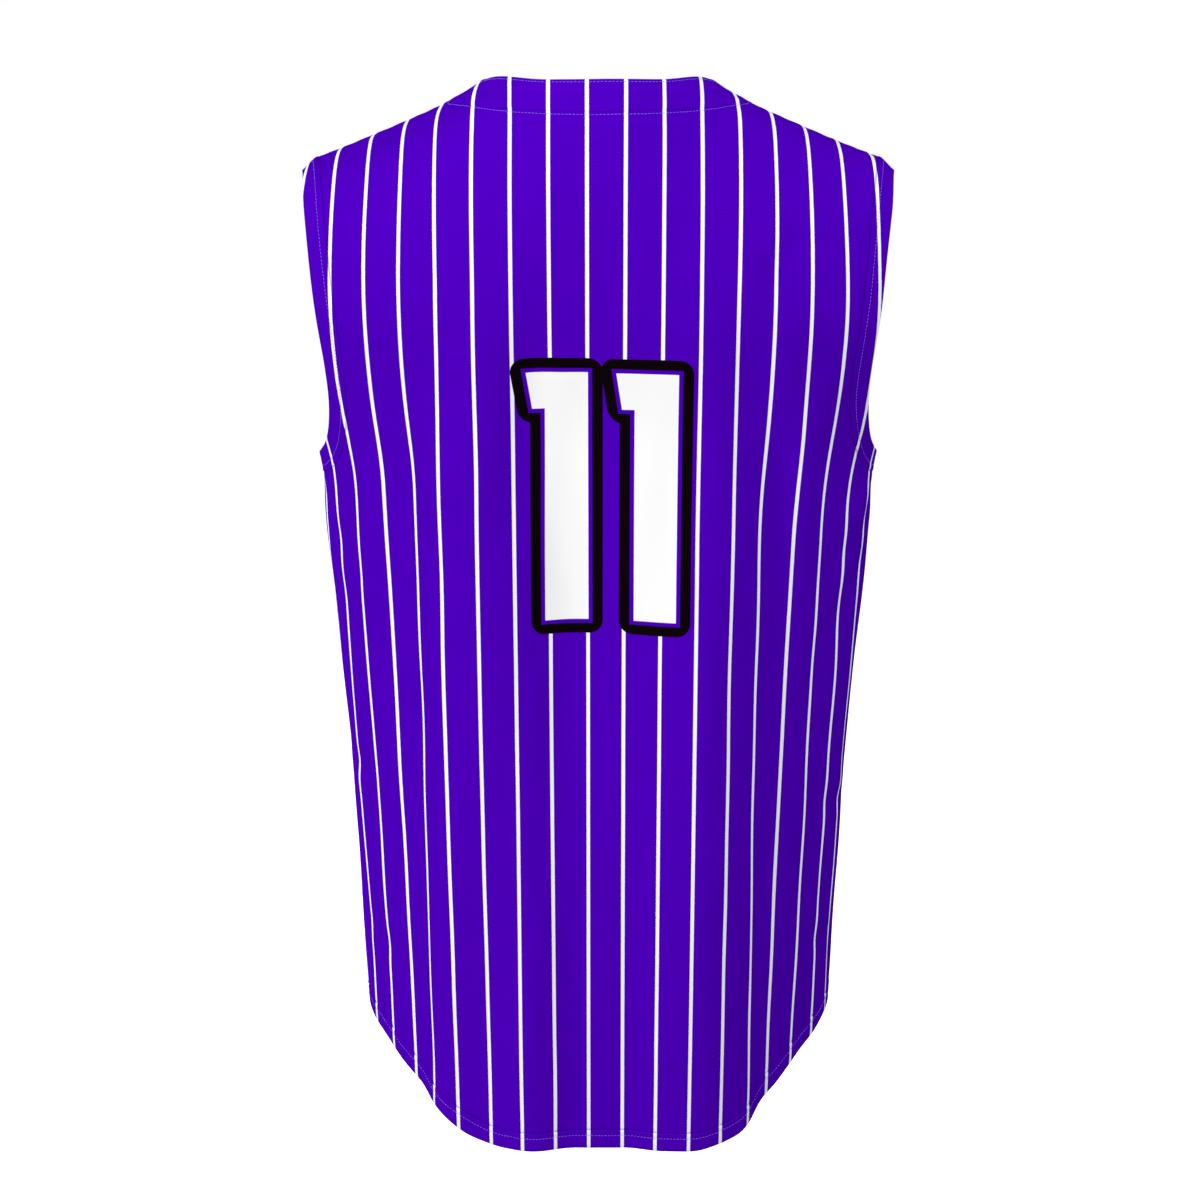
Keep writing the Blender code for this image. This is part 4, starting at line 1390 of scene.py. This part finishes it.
# ================================================================ studio
def build_studio():
    """The floor, the soft boxes, the pale surroundings and the camera."""
    scene = bpy.context.scene
    nothing_selected()
    bpy.ops.mesh.primitive_plane_add(size=FLOOR_SIZE, location=(0, 0, FLOOR_LEVEL))
    floor = bpy.context.object
    floor.name = floor.data.name = "floor"
    bpy.ops.object.transform_apply(location=True)
    floor.data.materials.append(floor_material())
    floor.visible_diffuse = False         # its glow stays off the cloth
    for number, lamp in enumerate(LAMPS, start=1):
        light = bpy.data.lights.new(f"softbox_{number}", "AREA")
        light.shape, light.size, light.energy = "SQUARE", lamp.size, lamp.power
        item = new_object(f"softbox_{number}", light)
        item.location = lamp.place
        aim = Vector(lamp.aim) - Vector(lamp.place)
        item.rotation_euler = aim.to_track_quat("-Z", "Y").to_euler()
    scene.world = bpy.data.worlds.new("studio")
    sky = Recipe(scene.world, "Background", {"Color": (1.0, 1.0, 1.0)})
    climb = abs(sky.split(sky.place("Generated"))[2])
    sky.feed(sky.shader, {
        "Strength": climb.rising(HORIZON_TOP, SKY_FOOT) * (SKY - HORIZON) + HORIZON})
    scene.view_settings.view_transform = "Standard"
    camera = bpy.data.cameras.new("camera")
    camera.lens, camera.sensor_width, camera.clip_end = CAMERA_LENS, 36.0, 100.0
    scene.camera = new_object("camera", camera)
    scene.camera.location = CAMERA_PLACE
    scene.camera.rotation_euler = (radians(90.0 - CAMERA_DOWN), 0.0, pi)


# ================================================================ the vest
nothing_selected()
FORMS = {face: Form(face) for face in FACES}

knit = knit_material("knit")
knit_numbered = knit_material("knit_numbered", numbered=True)
knit_inside = knit_material("knit_inside", inside=True)
topstitch_thread = thread_material("topstitch_thread", TOPSTITCH_COLOUR)
buttonhole_thread = thread_material("buttonhole_thread", BUTTONHOLE_COLOUR)
button_thread = thread_material("button_thread", BUTTON_THREAD_COLOUR)

back_cloth = build_back([knit_numbered, knit_inside])
front_left_cloth = build_front("front_left_cloth", 1, [knit, knit_inside])
front_right_cloth = build_front("front_right_cloth", -1, [knit, knit_inside])
band_cloth = build_neck_band([knit, knit_inside])
placket_cloth = build_placket([knit, knit_inside])
sewing = build_sewing(topstitch_thread)
buttons = copies_on_placket(model_button(), "button_resin", BUTTON_SEAT, button_material())
strands = copies_on_placket(model_strand(), "button_thread", BUTTON_SEAT, button_thread)
buttonholes = copies_on_placket(model_buttonhole(), "buttonhole", PLACKET_TOP - 0.2,
                                buttonhole_thread)

Cut = namedtuple("Cut", "piece node slot width length area rests_on")
CUTS = (
    Cut(back_cloth, "back", "knit", 0.532, 0.800, 0.369, ["front_left_cloth"]),
    Cut(front_left_cloth, "front_left", "knit", 0.241, 0.780, 0.152, ["back_cloth"]),
    Cut(front_right_cloth, "front_right", "knit", 0.266, 0.780, 0.166, ["back_cloth"]),
    Cut(band_cloth, "neck_band", "band_knit", 0.820, 0.022, 0.018, ["back_cloth"]),
    Cut(placket_cloth, "placket", "band_knit", 0.038, 0.585, 0.022, ["front_left_cloth"]),
)
for cut in CUTS:
    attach(cut.piece, "root")
    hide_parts(cut.node)
for piece in sewing + buttonholes:
    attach(piece, "root")
for number, (button, strand) in enumerate(zip(buttons, strands), start=1):
    for piece in (button, strand):
        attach(piece, "root")
    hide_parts(f"button_{number}")

build_studio()
